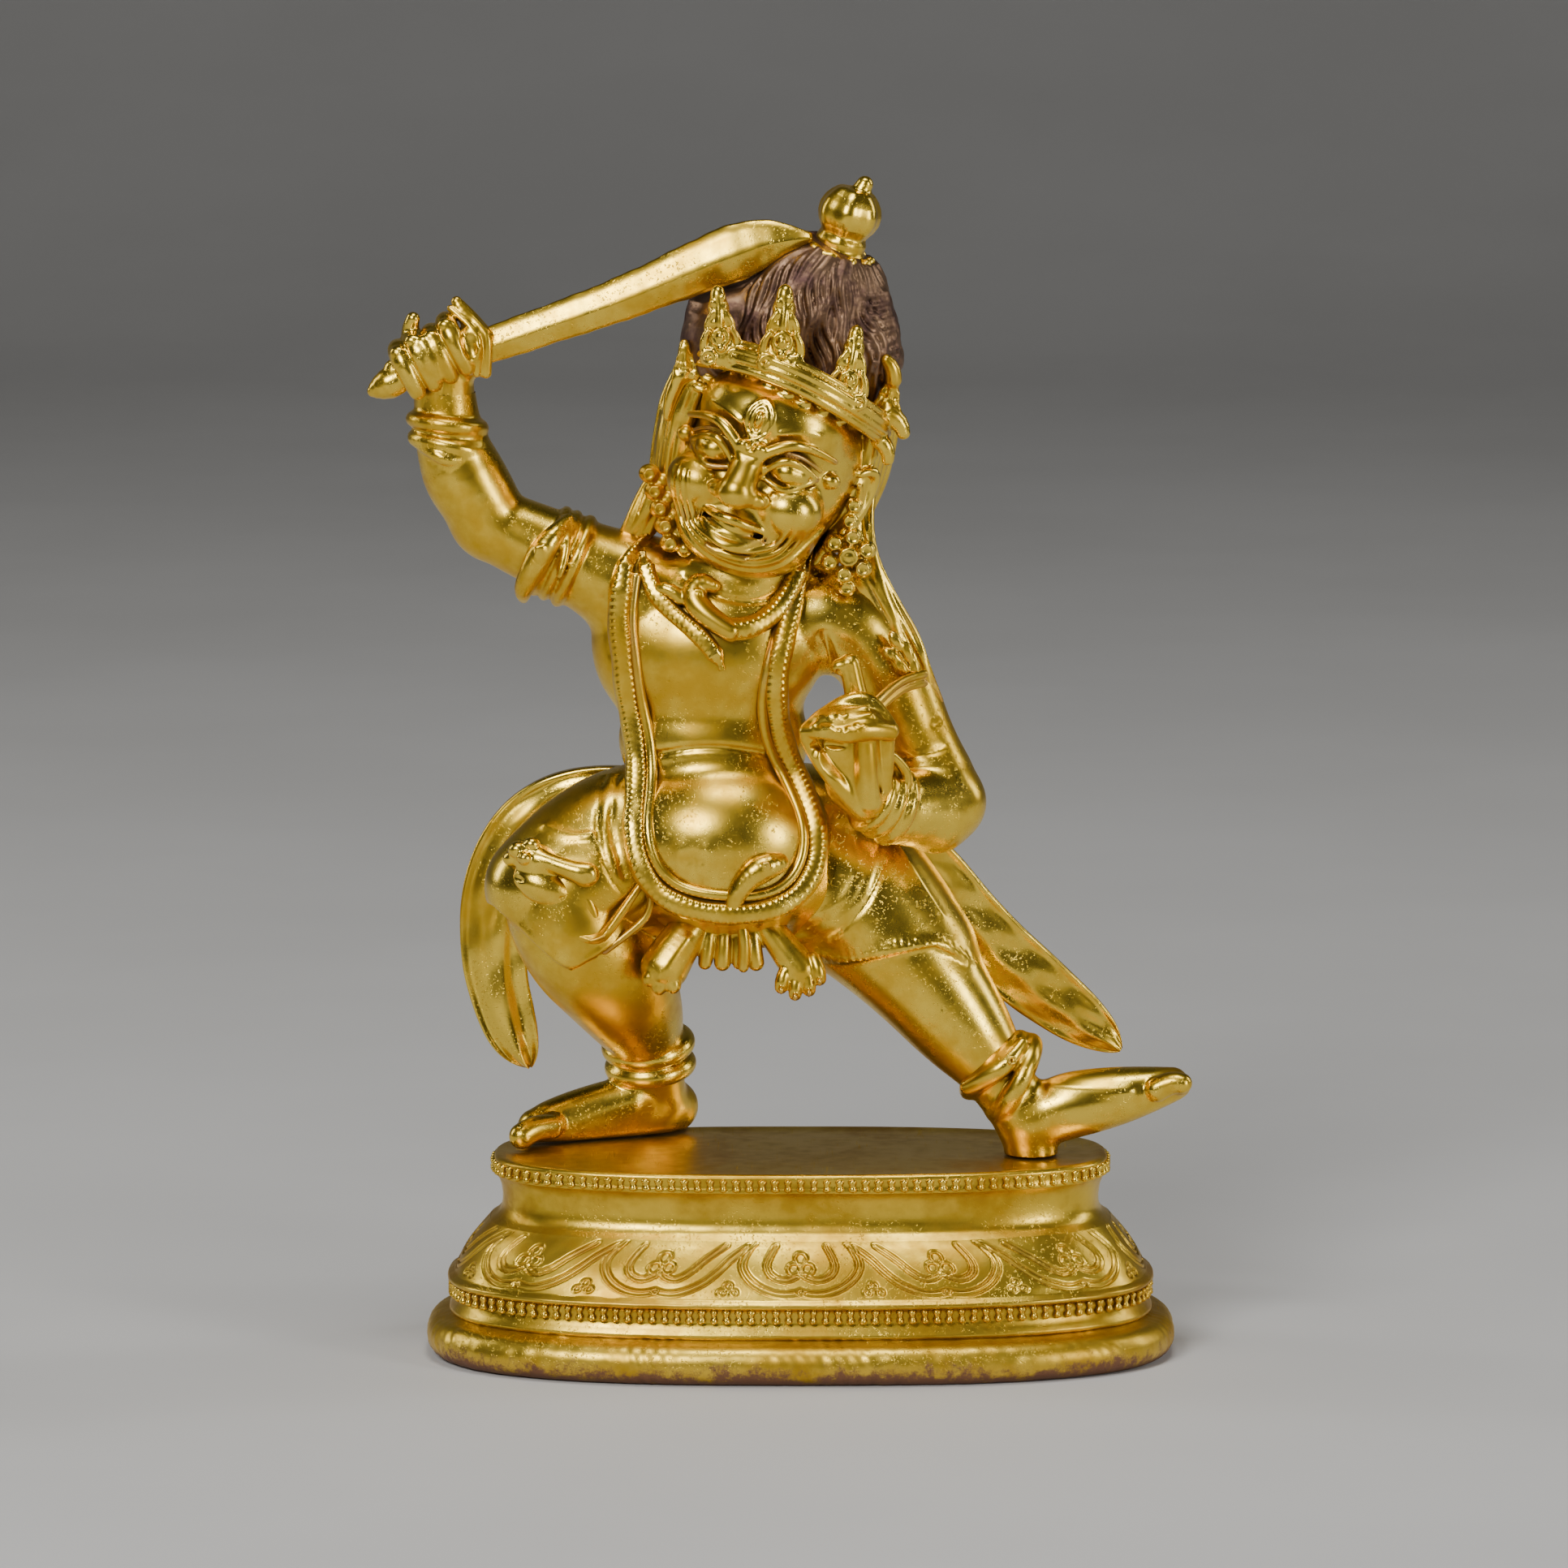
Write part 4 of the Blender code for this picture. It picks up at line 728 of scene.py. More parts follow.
def shape_head():
    wax = Wax((-18.5, -19.5, -17.5), (16.5, 17, 17.5), 0.2)
    wax.ball((0, 1.5, 3.0), (12.4, 13.2, 13.0), 2)
    wax.ball((-1.0, -2.5, -2.0), (11.4, 10.6, 12.0), 2)
    wax.ball((-0.6, -4.6, -8.6), (9.6, 8.4, 5.8), 2.5)
    wax.ball((-1.0, -5.6, 8.8), (10.6, 7.8, 7.0), 2.5)
    middle = -1.1
    for side in (-1, 1):
        # Cheek bulges, shallow sockets, eyes with double lids, and arched brows
        wax.ball((middle + side * 6.7, -9.4, -2.4), (4.9, 4.6, 4.2), 1.2)
        wax.dent((middle + side * 5.4, -17.0, 3.2), (4.8, 4.4, 2.8), 1.6)
        wax.dent((middle + side * 2.3, -16.0, 1.4), (1.2, 2.4, 1.4), 1.0)
        wax.ball((middle + side * 5.4, -10.8, 3.0), (3.2, 2.9, 2.2), 0.3)
        wax.ball((middle + side * 5.5, -13.1, 3.1), (1.3, 0.8, 1.2), 0.6)
        upper = [(middle + side * 2.0, -12.8, 1.6), (middle + side * 3.8, -13.9, 4.4),
                 (middle + side * 6.6, -13.3, 5.3), (middle + side * 9.4, -10.0, 3.0)]
        lower = [(middle + side * 2.0, -12.8, 1.6), (middle + side * 4.6, -13.3, 0.6),
                 (middle + side * 7.0, -12.6, 0.7), (middle + side * 9.4, -10.0, 3.0)]
        wax.bar(upper, [0.4, 0.6, 0.6, 0.45], 0.2)
        wax.bar(lower, [0.4, 0.45, 0.45, 0.4], 0.2)
        outer = [(x + side * 0.2, y + 0.5, z + 1.2) for x, y, z in upper[1:]]
        wax.bar(outer, [0.35, 0.42, 0.3], 0.2)
        under = [(x, y + 0.35, z - 1.1) for x, y, z in lower[1:]]
        wax.bar(under, [0.3, 0.35, 0.3], 0.2)
        wax.bar([(middle + side * 1.2, -14.4, 4.2), (middle + side * 3.6, -14.4, 6.6),
                 (middle + side * 7.2, -12.9, 7.8), (middle + side * 11.0, -8.4, 6.0)],
                [0.9, 0.85, 0.75, 0.45], 0.5)
        wax.raise_line(wax.front([(middle + side * 3.2, 8.2), (middle + side * 6.0, 9.5),
                                  (middle + side * 8.2, 9.2)]), 0.4, 0.45)
        wax.ball((middle + side * 1.2, -14.8, 5.4), (0.9, 0.9, 0.8), 0.35)
        wax.ball((middle + side * 11.0, -7.2, 3.0), (1.4, 1.2, 1.2), 0.4)
        # Nose wings, and the folds that run from them under the cheeks
        wax.ball((middle + side * 2.6, -14.4, -1.7), (2.1, 1.8, 1.4), 0.6)
        wax.dent((middle + side * 1.5, -16.2, -3.4), (0.6, 0.9, 0.5), 0.25)
        wax.channel([(middle + side * 4.0, -14.9, -0.8), (middle + side * 4.5, -14.3, -3.6),
                     (middle + side * 6.6, -12.6, -6.2), (middle + side * 9.2, -10.0, -7.0)],
                    [0.3, 0.45, 0.4, 0.2], 0.5)
        # Ears with a curled rim
        wax.ball((side * 12.4, 1.5, -1.0), (1.6, 2.4, 5.4), 0.8)
        wax.bar([(side * 12.6, -1.0, 4.2), (side * 14.1, 0.6, 5.4), (side * 14.4, 2.4, 3.0),
                 (side * 13.8, 1.6, -1.6), (side * 12.9, -0.4, -4.8)],
                [0.6, 0.8, 0.9, 0.8, 1.1], 0.4)
        wax.bar([(side * 13.0, -1.2, 2.6), (side * 13.7, 0.2, 1.8), (side * 13.0, -0.8, -1.4)],
                [0.4, 0.5, 0.4], 0.25)
    # Nose, worn to a broad tip, with wrinkles across its bridge
    wax.bar([(-1.1, -12.4, 5.4), (-1.1, -14.0, 1.6), (-1.2, -15.7, -1.0)], [2.0, 2.2, 2.6], 0.9)
    wax.ball((-1.2, -16.2, -1.7), (2.6, 1.8, 1.7), 0.8)
    for rise in (3.4, 4.6):
        wax.raise_line([(-2.6, -14.9, rise + 0.5), (-1.1, -15.6, rise - 0.4),
                        (0.4, -14.9, rise + 0.5)], 0.3, 0.45)
    # The upright third eye between two rims
    wax.ball((-1.4, -13.4, 9.2), (0.65, 0.9, 1.3), 0.2)
    for across, tall, width in ((1.15, 2.0, 0.26), (2.0, 2.9, 0.24)):
        rim = [(-1.4 + across * math.sin(a), 9.2 + tall * math.cos(a) * (1 - 0.12 * abs(math.sin(a))))
               for a in np.linspace(0, 2 * math.pi, 20, endpoint=False)]
        wax.raise_line(wax.front(rim), width, 0.5, closed=True)
    # The open mouth, drawn back at both corners, with its row of teeth
    wax.ball((-1.0, -10.2, -7.2), (5.2, 4.0, 3.4), 1.2)
    wax.bar([(-6.4, -11.4, -5.3), (-3.8, -14.0, -5.6), (-1.1, -15.0, -5.3), (1.6, -14.0, -5.8),
             (4.2, -11.4, -6.2)], [0.4, 0.65, 0.8, 0.65, 0.4], 0.3)
    wax.bar([(-6.2, -11.2, -6.2), (-3.6, -13.4, -8.6), (-1.0, -14.1, -9.3), (1.8, -13.4, -8.9),
             (4.0, -11.2, -6.9)], [0.4, 0.7, 0.8, 0.7, 0.4], 0.3)
    wax.channel([(-5.2, -12.4, -6.2), (-3.0, -14.4, -6.9), (-1.0, -15.0, -7.2), (1.2, -14.4, -7.2),
                 (3.4, -12.4, -6.8)], [0.3, 0.75, 0.85, 0.75, 0.3], 0.12)
    wax.channel([(-5.2, -11.4, -6.7), (-1.0, -12.8, -7.6), (3.4, -11.4, -7.3)], 1.0, 0.12)
    for tooth in range(7):
        x = -3.9 + 0.98 * tooth
        wax.ball((x, -13.0 + 0.09 * (x + 1) ** 2, -6.5 - 0.05 * tooth), (0.46, 0.6, 0.6), 0.05)
    wax.bar([(-3.6, -13.3, -10.3), (-0.8, -13.8, -11.2), (2.2, -13.1, -10.6)], [0.4, 0.5, 0.4], 0.5)
    # The beard runs from ear to ear in ridges along the jaw
    for row in range(4):
        inset = 0.5 + 1.02 * row
        jaw = smooth_path([(-11.9 + 0.8 * inset, -1.0, 0), (-10.7 + inset, -8.0, 0),
                           (-5.6 + 0.5 * inset, -12.4 + inset, 0), (1.4, -13.5 + inset, 0),
                           (7.0 - 0.5 * inset, -11.6 + inset, 0), (9.5 - inset, -7.2, 0),
                           (10.8 - inset, -4.2, 0)], 0.8)
        ridge = eased(wax.front(jaw[:, :2]), 6)
        wax.bar(ridge, [0.2] + [0.42] * (len(ridge) - 2) + [0.2], 0.12)
    # The forelocks, small curls below the crown
    for x, y, z in wax.front([(-12.4, 9.6), (-11.6, 11.4), (-9.6, 12.8), (-7.2, 13.9), (-4.6, 14.3),
                              (-1.8, 14.2), (0.8, 13.8), (3.4, 13.3), (6.0, 12.8), (8.4, 11.9),
                              (10.4, 10.7), (11.8, 9.0), (12.6, 7.0)]):
        wax.ball((x, y + 0.1, z), (1.3, 0.9, 0.8), 0.5)
        wax.raise_line([(x - 0.9, y - 0.5, z + 0.3), (x, y - 0.8, z - 0.2), (x + 0.8, y - 0.5, z + 0.4)],
                       0.22, -0.3)
    # The mass of hair that falls beside the face, combed downwards
    wax.bar([(-13.8, -1.0, 11.0), (-14.8, -1.2, 4.0), (-13.8, -0.6, -3.0), (-12.2, 0, -9.0)],
            [3.0, 3.2, 3.0, 2.2], 1.0)
    for lock in range(9):
        x = -12.4 - 0.62 * lock
        y = -4.6 + 0.5 * max(0, lock - 3) ** 1.35
        wave = 0.3 * math.sin(2.3 * lock)
        wax.bar([(x + 0.4, y, 11.5), (x - 0.5, y - 0.5 + wave, 7.0), (x - 0.2, y - wave, 1.6),
                 (x + 0.6, y + 0.2, -4.0), (x + 1.7, y + 0.4, -9.5)],
                [0.6, 0.72, 0.7, 0.66, 0.5], 0.15)
    for lock in range(5):
        x = 12.2 + 0.3 * lock
        y = 1.2 + 1.9 * lock
        wax.bar([(x, y, 10.5), (x + 0.5, y + 0.3, 5.0), (x, y, -1.0), (x - 1.2, y, -7.5)],
                [1.1, 1.3, 1.3, 1.1], 0.35)
    for lock in range(21):
        angle = math.pi * (0.08 + 0.84 * lock / 20)
        x = 12.6 * math.cos(angle)
        y = 3.0 + 11.6 * math.sin(angle)
        sway = 0.5 * math.sin(1.9 * lock)
        wax.bar([(x * 0.96, y * 0.96, 13.0), (x + sway, y, 7.0), (x * 0.99 - sway, y, 0.0),
                 (x * 0.86 + sway, y * 0.92, -7.5), (x * 0.66, y * 0.78, -13.5)],
                [1.0, 1.25, 1.25, 1.2, 0.9], 0.3)
    return wax


def shape_crown():
    """The crown: a ridged band that rises to the front, and five flaming leaves."""
    wax = Wax((-24, -20, 96), (19, 20, 128), 0.2)

    def band(reach, rise):
        points = []
        for angle in np.linspace(0, 2 * math.pi, 36, endpoint=False):
            arch = (11.9 + 3.2 * math.cos(angle) + 1.9 * math.cos(angle) ** 2
                    - 0.9 * math.sin(angle))
            points.append(from_head([reach * math.sin(angle) - 0.6, 1.0 - reach * math.cos(angle),
                                     arch + rise]))
        return points

    wax.bar(band(13.6, 0.0), 1.6, 0.2, closed=True)
    for rise, thick, out in ((-1.6, 0.7, 0.35), (-0.3, 0.62, 0.75), (0.85, 0.6, 0.7), (1.9, 0.5, 0.2)):
        wax.bar(band(14.0 + out, rise), thick, 0.12, closed=True)
    leaves = (
        ((-16.2, -4.0, 112.6), (-16.6, -4.0, 117.6), 0.7),
        ((-11.2, -11.4, 115.8), (-11.8, -11.4, 125.8), 1.1),
        ((-2.9, -14.2, 115.0), (-2.2, -14.0, 126.2), 1.2),
        ((6.2, -12.2, 109.6), (7.9, -11.6, 120.2), 1.1),
        ((11.6, -4.0, 106.0), (13.4, -3.4, 113.6), 0.8),
    )
    for foot, tip, size in leaves:
        foot = np.array(foot)
        tip = np.array(tip)
        along = (tip - foot) / np.linalg.norm(tip - foot)
        side = np.array((along[2], 0, -along[0]))
        front = np.array((0, -1.0, 0))
        tall = np.linalg.norm(tip - foot)

        def at(high, across=0.0, out=0.0):
            return foot + along * tall * high + side * across * size + front * out * size

        # A flat pointed core, stepped in towards its tip
        for high, half in ((0.05, 2.7), (0.22, 2.4), (0.4, 2.1), (0.58, 1.75), (0.76, 1.4),
                           (0.92, 1.0)):
            wax.ball(at(high), (half * size, 1.1 * size, 0.13 * tall + 0.3), 0.5,
                     (0, math.degrees(math.atan2(along[0], along[2])), 0))
        # Curls at its foot, a cabochon in its ring, and flame tongues up its edges
        for across in (-1, 1):
            wax.ring(at(0.08, 1.7 * across, 1.0), front, 0.85 * size, 0.36 * size, 0.15)
            wax.ball(at(0.08, 1.7 * across, 1.2), 0.38 * size, 0.1)
            wax.bar([at(0.2, 2.2 * across, 0.5), at(0.36, 2.3 * across, 0.9),
                     at(0.46, 1.5 * across, 1.0)], [0.6 * size, 0.55 * size, 0.35 * size], 0.25)
            wax.bar([at(0.48, 1.6 * across, 0.5), at(0.6, 1.6 * across, 0.9),
                     at(0.7, 0.9 * across, 0.9)], [0.5 * size, 0.45 * size, 0.3 * size], 0.25)
        wax.ring(at(0.36, 0, 1.15), front, 1.05 * size, 0.3 * size, 0.12)
        wax.ball(at(0.36, 0, 1.1), (0.62 * size, 0.7 * size, 0.85 * size), 0.1)
        wax.ball(at(0.2, 0, 1.2), 0.55 * size, 0.15)
        wax.bar([at(0.55, 0, 0.9), at(0.75, 0.15, 1.0), at(0.97, 0, 0.4)],
                [0.6 * size, 0.5 * size, 0.4 * size], 0.25)
        wax.ball(at(0.98), (0.75 * size, 0.75 * size, 0.8 * size), 0.3)
        for step, high in enumerate((0.56, 0.64, 0.71, 0.78, 0.85, 0.91)):
            across = (0.9 - 0.7 * (high - 0.5)) * (1 if step % 2 else -1)
            wax.ball(at(high, across, 0.8), (0.42 * size, 0.42 * size, 0.55 * size), 0.15)
    # The side leaf curls over, with a bud below it
    wax.bar([(13.2, -4.4, 112.4), (13.2, -4.8, 114.2), (12.2, -5.0, 115.2)], [1.2, 1.2, 0.9], 0.4)
    wax.bar([(12.4, -4.6, 107.4), (14.2, -4.6, 106.6), (14.6, -4.6, 104.8)], [1.6, 1.4, 1.0], 0.4)
    wax.bar([(11.2, -5.0, 103.8), (12.6, -5.2, 102.6), (12.4, -5.0, 101.0)], [1.3, 1.2, 0.9], 0.4)
    wax.bar([(-17.2, -4.0, 112.8), (-18.8, -3.6, 109.6), (-19.0, -3.2, 107.0)], [1.2, 1.1, 0.7], 0.6)
    return wax


def shape_hair():
    """The piled hair, drawn up in fine waved strands that fan from the bud's collar."""
    wax = Wax((-20, -13, 99), (18, 20, 136), 0.24)
    wax.ball((-3.2, 4.5, 111), (12.6, 11.8, 11.0), 2, (0, 17, 0))
    wax.ball((-0.2, 3.4, 118.5), (12.6, 11.6, 10.0), 2, (0, 20, 0))
    wax.ball((2.8, 2.6, 125.6), (9.6, 9.2, 6.6), 2, (0, 20, 0))
    wax.ball((-11.0, 0.6, 117.4), (6.2, 7.6, 8.4), 2, (0, 12, 0))
    wax.ball((9.0, 1.0, 116.4), (5.0, 6.6, 8.0), 1.5)
    # Hollows between the crown's leaves
    wax.dent((2.4, -9.6, 117.6), (3.8, 3.4, 5.0), 1.2, (0, 15, 0))
    wax.dent((-8.2, -8.6, 121.0), (2.4, 3.0, 4.2), 1.0)
    crest = np.array((4.6, 1.6, 131.5))
    count = 60
    for lock in range(count):
        angle = 2 * math.pi * lock / count
        strand = []
        for step in range(11):
            share = step / 10
            spin = angle + 0.75 * share ** 1.3 + 0.09 * math.sin(17 * share + 0.9 * lock)
            reach = 3.4 + 10.2 * share ** 0.75
            x = crest[0] - 5.8 * share + reach * math.sin(spin)
            y = crest[1] + 1.6 * share - 0.92 * reach * math.cos(spin)
            z = crest[2] - 2.0 - 21.0 * share ** 1.25 - 1.2 * math.sin(spin)
            strand.append((x, y, z))
        path = smooth_path(strand, 1.0)
        # Each point slides in or out to the skin along its own way from the core
        core = np.array((-0.6, 3.6, 116.5))
        settled = []
        for point in path:
            way = point - (core + (0, 0, 0.55 * (point[2] - core[2])))
            way[2] *= 0.3
            way /= np.linalg.norm(way)
            for _ in range(3):
                cell = np.clip(np.round((point - wax.low) / wax.step).astype(int), 0,
                               np.array(wax.shape) - 1)
                point = point - way * np.clip(wax.value[tuple(cell)], -2.0, 2.0) * 0.9
            settled.append(point)
        wax.bar(settled[1::2], 0.5 + 0.12 * math.sin(1.7 * lock), 0.1)
    # The coil on the viewer's right stands out in combed lumps
    for x, y, z, r in ((11.4, -0.6, 119.0, 2.6), (12.2, 0.4, 114.8, 2.5), (10.8, -0.4, 122.8, 2.2),
                       (-13.8, 0.0, 121.4, 2.6)):
        wax.ball((x, y, z), (r, r * 0.9, r * 1.1), 0.9)
        for turn in range(3):
            level = z + (turn - 1) * r * 0.6
            wax.raise_line(wax.front([(x - r * 0.8, level + 0.3), (x, level - 0.2),
                                      (x + r * 0.7, level + 0.4)]), 0.3, 0.35)
    return wax


def shape_finial():
    """The bud with its lotus collar that finishes the hair."""
    wax = Wax((-3, -8, 124), (16, 9, 143), 0.16)
    axis = Vector((0.30, -0.08, 1)).normalized()
    low = np.array((5.2, 1.2, 129.8))
    up = np.array(axis)
    first = np.array(axis.orthogonal().normalized())
    second = np.cross(up, first)
    wax.bar([low - up * 2.2, low + up * 1.8], [4.8, 2.6], 0.5)
    for petal in range(10):
        angle = 2 * math.pi * petal / 10
        out = first * math.cos(angle) + second * math.sin(angle)
        wax.bar([low + out * 3.0 - up * 2.0, low + out * 4.9 - up * 0.9, low + out * 4.9 + up * 0.2],
                [1.1, 1.2, 0.7], 0.8)
    wax.ring(low + (-0.7, 0, -0.2), (0.5, -0.1, 0.9), 4.9, 1.0, 1.0)
    wax.ring(low + up * 1.9, axis, 2.8, 0.9, 0.5)
    bud = low + up * 6.1
    wax.ball(bud, (4.1, 4.1, 3.8), 0.5, (0, 16, 0))
    # Broad melon lobes that part at soft creases
    for lobe in range(7):
        angle = 2 * math.pi * (lobe + 0.3) / 7
        out = first * math.cos(angle) + second * math.sin(angle)
        wax.bar([bud + out * 2.2 - up * 2.7, bud + out * 3.2 - up * 1.2, bud + out * 3.3 + up * 1.0,
                 bud + out * 2.2 + up * 2.5], [0.9, 1.3, 1.3, 0.9], 1.2)
    wax.bar([bud + up * 3.0 + (0.6, 0, 0), bud + up * 4.4 + (0.9, 0, 0)], [1.5, 1.2], 0.5)
    return wax


def shape_earrings():
    """The ringed drops beside the neck and the flower on the other ear."""
    wax = Wax((-25.5, -9, 80), (13, 4, 101), 0.2)
    for drop in range(5):
        x = -21.6 + 0.75 * drop
        z = 98.8 - 2.5 * drop
        wax.ball((x, -3.2, z), (1.55, 1.4, 1.4), 0.2)
        wax.ring((x, -4.5, z), (0, 1, 0), 0.75, 0.22, 0.1)
        wax.ball((x + 2.0, -2.6, z - 1.0), (1.2, 1.2, 1.2), 0.3)
    # The viewer's right one is a flower of ringed petals
    for petal in range(6):
        angle = 2 * math.pi * petal / 6 + 0.3
        x = 6.8 + 2.75 * math.cos(angle)
        z = 87.3 + 2.75 * math.sin(angle)
        wax.ball((x, -5.6, z), (1.35, 1.2, 1.35), 0.15)
        wax.ring((x, -6.7, z), (0, 1, 0), 0.85, 0.24, 0.1)
    wax.ball((6.8, -6.4, 87.3), (1.6, 1.4, 1.6), 0.2)
    wax.ring((6.8, -7.5, 87.3), (0, 1, 0), 1.15, 0.28, 0.1)
    for x, z in ((7.0, 92.2), (7.6, 94.4), (6.6, 82.6)):
        wax.ball((x, -5.0, z), (1.25, 1.1, 1.25), 0.3)
        wax.ring((x, -6.0, z), (0, 1, 0), 0.75, 0.22, 0.1)
    return wax


def shape_tresses():
    """The tresses that fall over the shoulders in fine waved strands."""
    wax = Wax((-29, -9, 58), (25, 9, 110), 0.24)
    left = [(-15.2, 1.0, 108), (-17.0, 0.4, 102), (-19.4, 0.2, 96.5), (-22.4, 0.2, 91.5),
            (-25.0, 1.0, 87.0)]
    right = [(11.0, 1.4, 105), (9.4, 0.8, 98), (7.4, -0.6, 92), (8.6, -2.0, 86),
             (11.8, -2.8, 79.6), (14.4, -2.8, 74.4), (16.6, -2.4, 69.6), (18.2, -1.6, 64.8)]
    for route, thick, strands in ((left, 1.0, 6), (right, 0.62, 7)):
        for strand in range(strands):
            spread = (strand - (strands - 1) / 2) * 1.05 * thick
            wave = []
            for place, (x, y, z) in enumerate(route):
                lean = 0.7 * thick * math.sin(2.2 * place + 1.6 * strand)
                wave.append((x + spread + lean, y - 0.5 * thick * math.cos(2.2 * place + strand)
                             + 0.12 * spread ** 2, z + 0.45 * spread))
            wax.bar(wave, [thick * (1.0 - 0.05 * place) for place in range(len(route))], 0.2)
    # The leaf ornament that the strap is tied to
    for x, y, z, lean in ((13.6, -6.0, 75.0, -30), (15.2, -5.8, 73.4, -20), (14.2, -6.4, 71.4, -40),
                          (16.2, -5.6, 71.0, -10), (13.0, -6.4, 73.0, -50)):
        wax.ball((x, y, z), (0.9, 0.8, 1.7), 0.3, (0, lean, 0))
        wax.raise_line([(x - 0.4, y - 0.8, z + 1.2), (x + 0.3, y - 0.8, z - 1.2)], 0.22, -0.3)
    return wax


# The cloth, drawn as folded sheets

def folded_sheet(outer, inner, folds, depth, thick):
    """A sheet between two edges, thick enough to cast, with folds along its length.

    Each fold is its place across the sheet, its sharpness, its height and its drift.
    """
    count = 160
    across = 26
    edges = []
    for edge in (outer, inner):
        path = smooth_path(edge, 0.25)
        run = np.linspace(0, len(path) - 1, count)
        edges.append(np.stack([np.interp(run, np.arange(len(path)), column) for column in path.T],
                              axis=1))
    share = np.linspace(0, 1, across)[None, :, None]
    middle = edges[0][:, None] * (1 - share) + edges[1][:, None] * share
    along = np.linspace(0, 1, count)[:, None]
    flat = share[..., 0]
    wave = np.zeros((count, across))
    for place, sharpness, height, drift in folds:
        gap = (flat - place - drift * (along - 0.5)) * sharpness
        wave += height * np.exp(-gap ** 2)
    wave += 0.12 * np.sin(along * 37 + flat * 9)
    edge_roll = np.exp(-((flat - 0.02) * 16) ** 2) + np.exp(-((flat - 0.98) * 16) ** 2)
    wave += depth * edge_roll
    half = thick * (0.55 + 0.45 * np.sin(math.pi * np.clip(flat, 0.02, 0.98)) ** 0.4)
    front = middle.copy()
    front[..., 1] -= half / 2 + wave
    back = middle.copy()
    back[..., 1] += half / 2 - 0.35 * wave
    section = np.concatenate([front, back[:, ::-1]], axis=1)
    sides = section.shape[1]
    index, faces = ring_quads(count, sides)
    caps = []
    for row in (0, count - 1):
        for k in range(across - 1):
            caps.append([index[row, k], index[row, k + 1], index[row, sides - 2 - k],
                         index[row, sides - 1 - k]])
    caps = np.array(caps)
    caps[:across - 1] = caps[:across - 1, ::-1]
    return section.reshape(-1, 3), np.vstack([faces, caps])


def shape_scarf():
    return folded_sheet(
        [(-24.5, 8.5, 54.8), (-30.0, 9.5, 55.0), (-38.4, 10.5, 52.8), (-45.2, 11, 47.0),
         (-49.2, 11, 37.5), (-49.4, 10.5, 27), (-47.6, 10, 19.4), (-45.0, 9.6, 13.6),
         (-41.6, 9, 10.9), (-39.8, 8.8, 10.7)],
        [(-25.0, 8.5, 46), (-29.5, 9, 45), (-34.5, 9, 41.5), (-38.2, 9, 36),
         (-39.6, 9, 29.5), (-39.6, 9, 24), (-38.6, 8.7, 19.6), (-37.9, 8.4, 15.4),
         (-38.0, 8.4, 12.0), (-38.9, 8.6, 10.8)],
        ((0.30, 5.0, 1.0, 0.2), (0.66, 6.5, 0.9, -0.25), (0.86, 12, 0.4, 0.1)), 0.7, 1.6,
    )


def shape_sash():
    return folded_sheet(
        [(14, 6.5, 50.0), (20.6, 7, 45.0), (29.4, 8, 33.8), (37.8, 8.6, 26.0),
         (44.2, 9, 19.6), (46.6, 9, 15.4), (46.6, 9, 13.6)],
        [(9, 6.5, 45), (14.5, 7, 38.6), (22.6, 8, 27.6), (28.8, 8.6, 20.6), (38.4, 9, 14.3),
         (44.6, 9, 12.6), (46.2, 9, 13.0)],
        ((0.28, 5.0, 0.4, 0.0), (0.56, 6.0, 0.8, 0.12), (0.84, 9, 0.3, 0.0)), 0.5, 1.8,
    )


# The snakes

def scaled_snake(route, radius):
    """A snake with two rows of fine punched scales along its back."""
    path = smooth_path(route, 0.15)
    sides = 20
    angle = np.linspace(-math.pi, math.pi, sides, endpoint=False)
    run = np.arange(len(path)) * 0.15
    share = run / run[-1]
    thin = np.clip(np.minimum(share * 9, (1 - share) * 9), 0.35, 1.0)
    body = radius * (1 + 0.04 * np.sin(run * 0.9 + 0.6)) * thin
    dots = np.zeros((len(path), sides))
    for row, place in ((0, -0.62), (1, 0.62)):
        near = ((run + 0.5 * row * 0.95) % 0.95 - 0.475) / 0.24
        lies = ((angle - place) * radius) / 0.26
        dots += 0.2 * np.exp(-near[:, None] ** 2 - lies[None, :] ** 2)
    seam = 0.1 * np.exp(-((angle * radius) / 0.2) ** 2)
    reach = body[:, None] + dots - seam[None, :]
    return sweep(path, reach * np.sin(angle), reach * np.cos(angle))


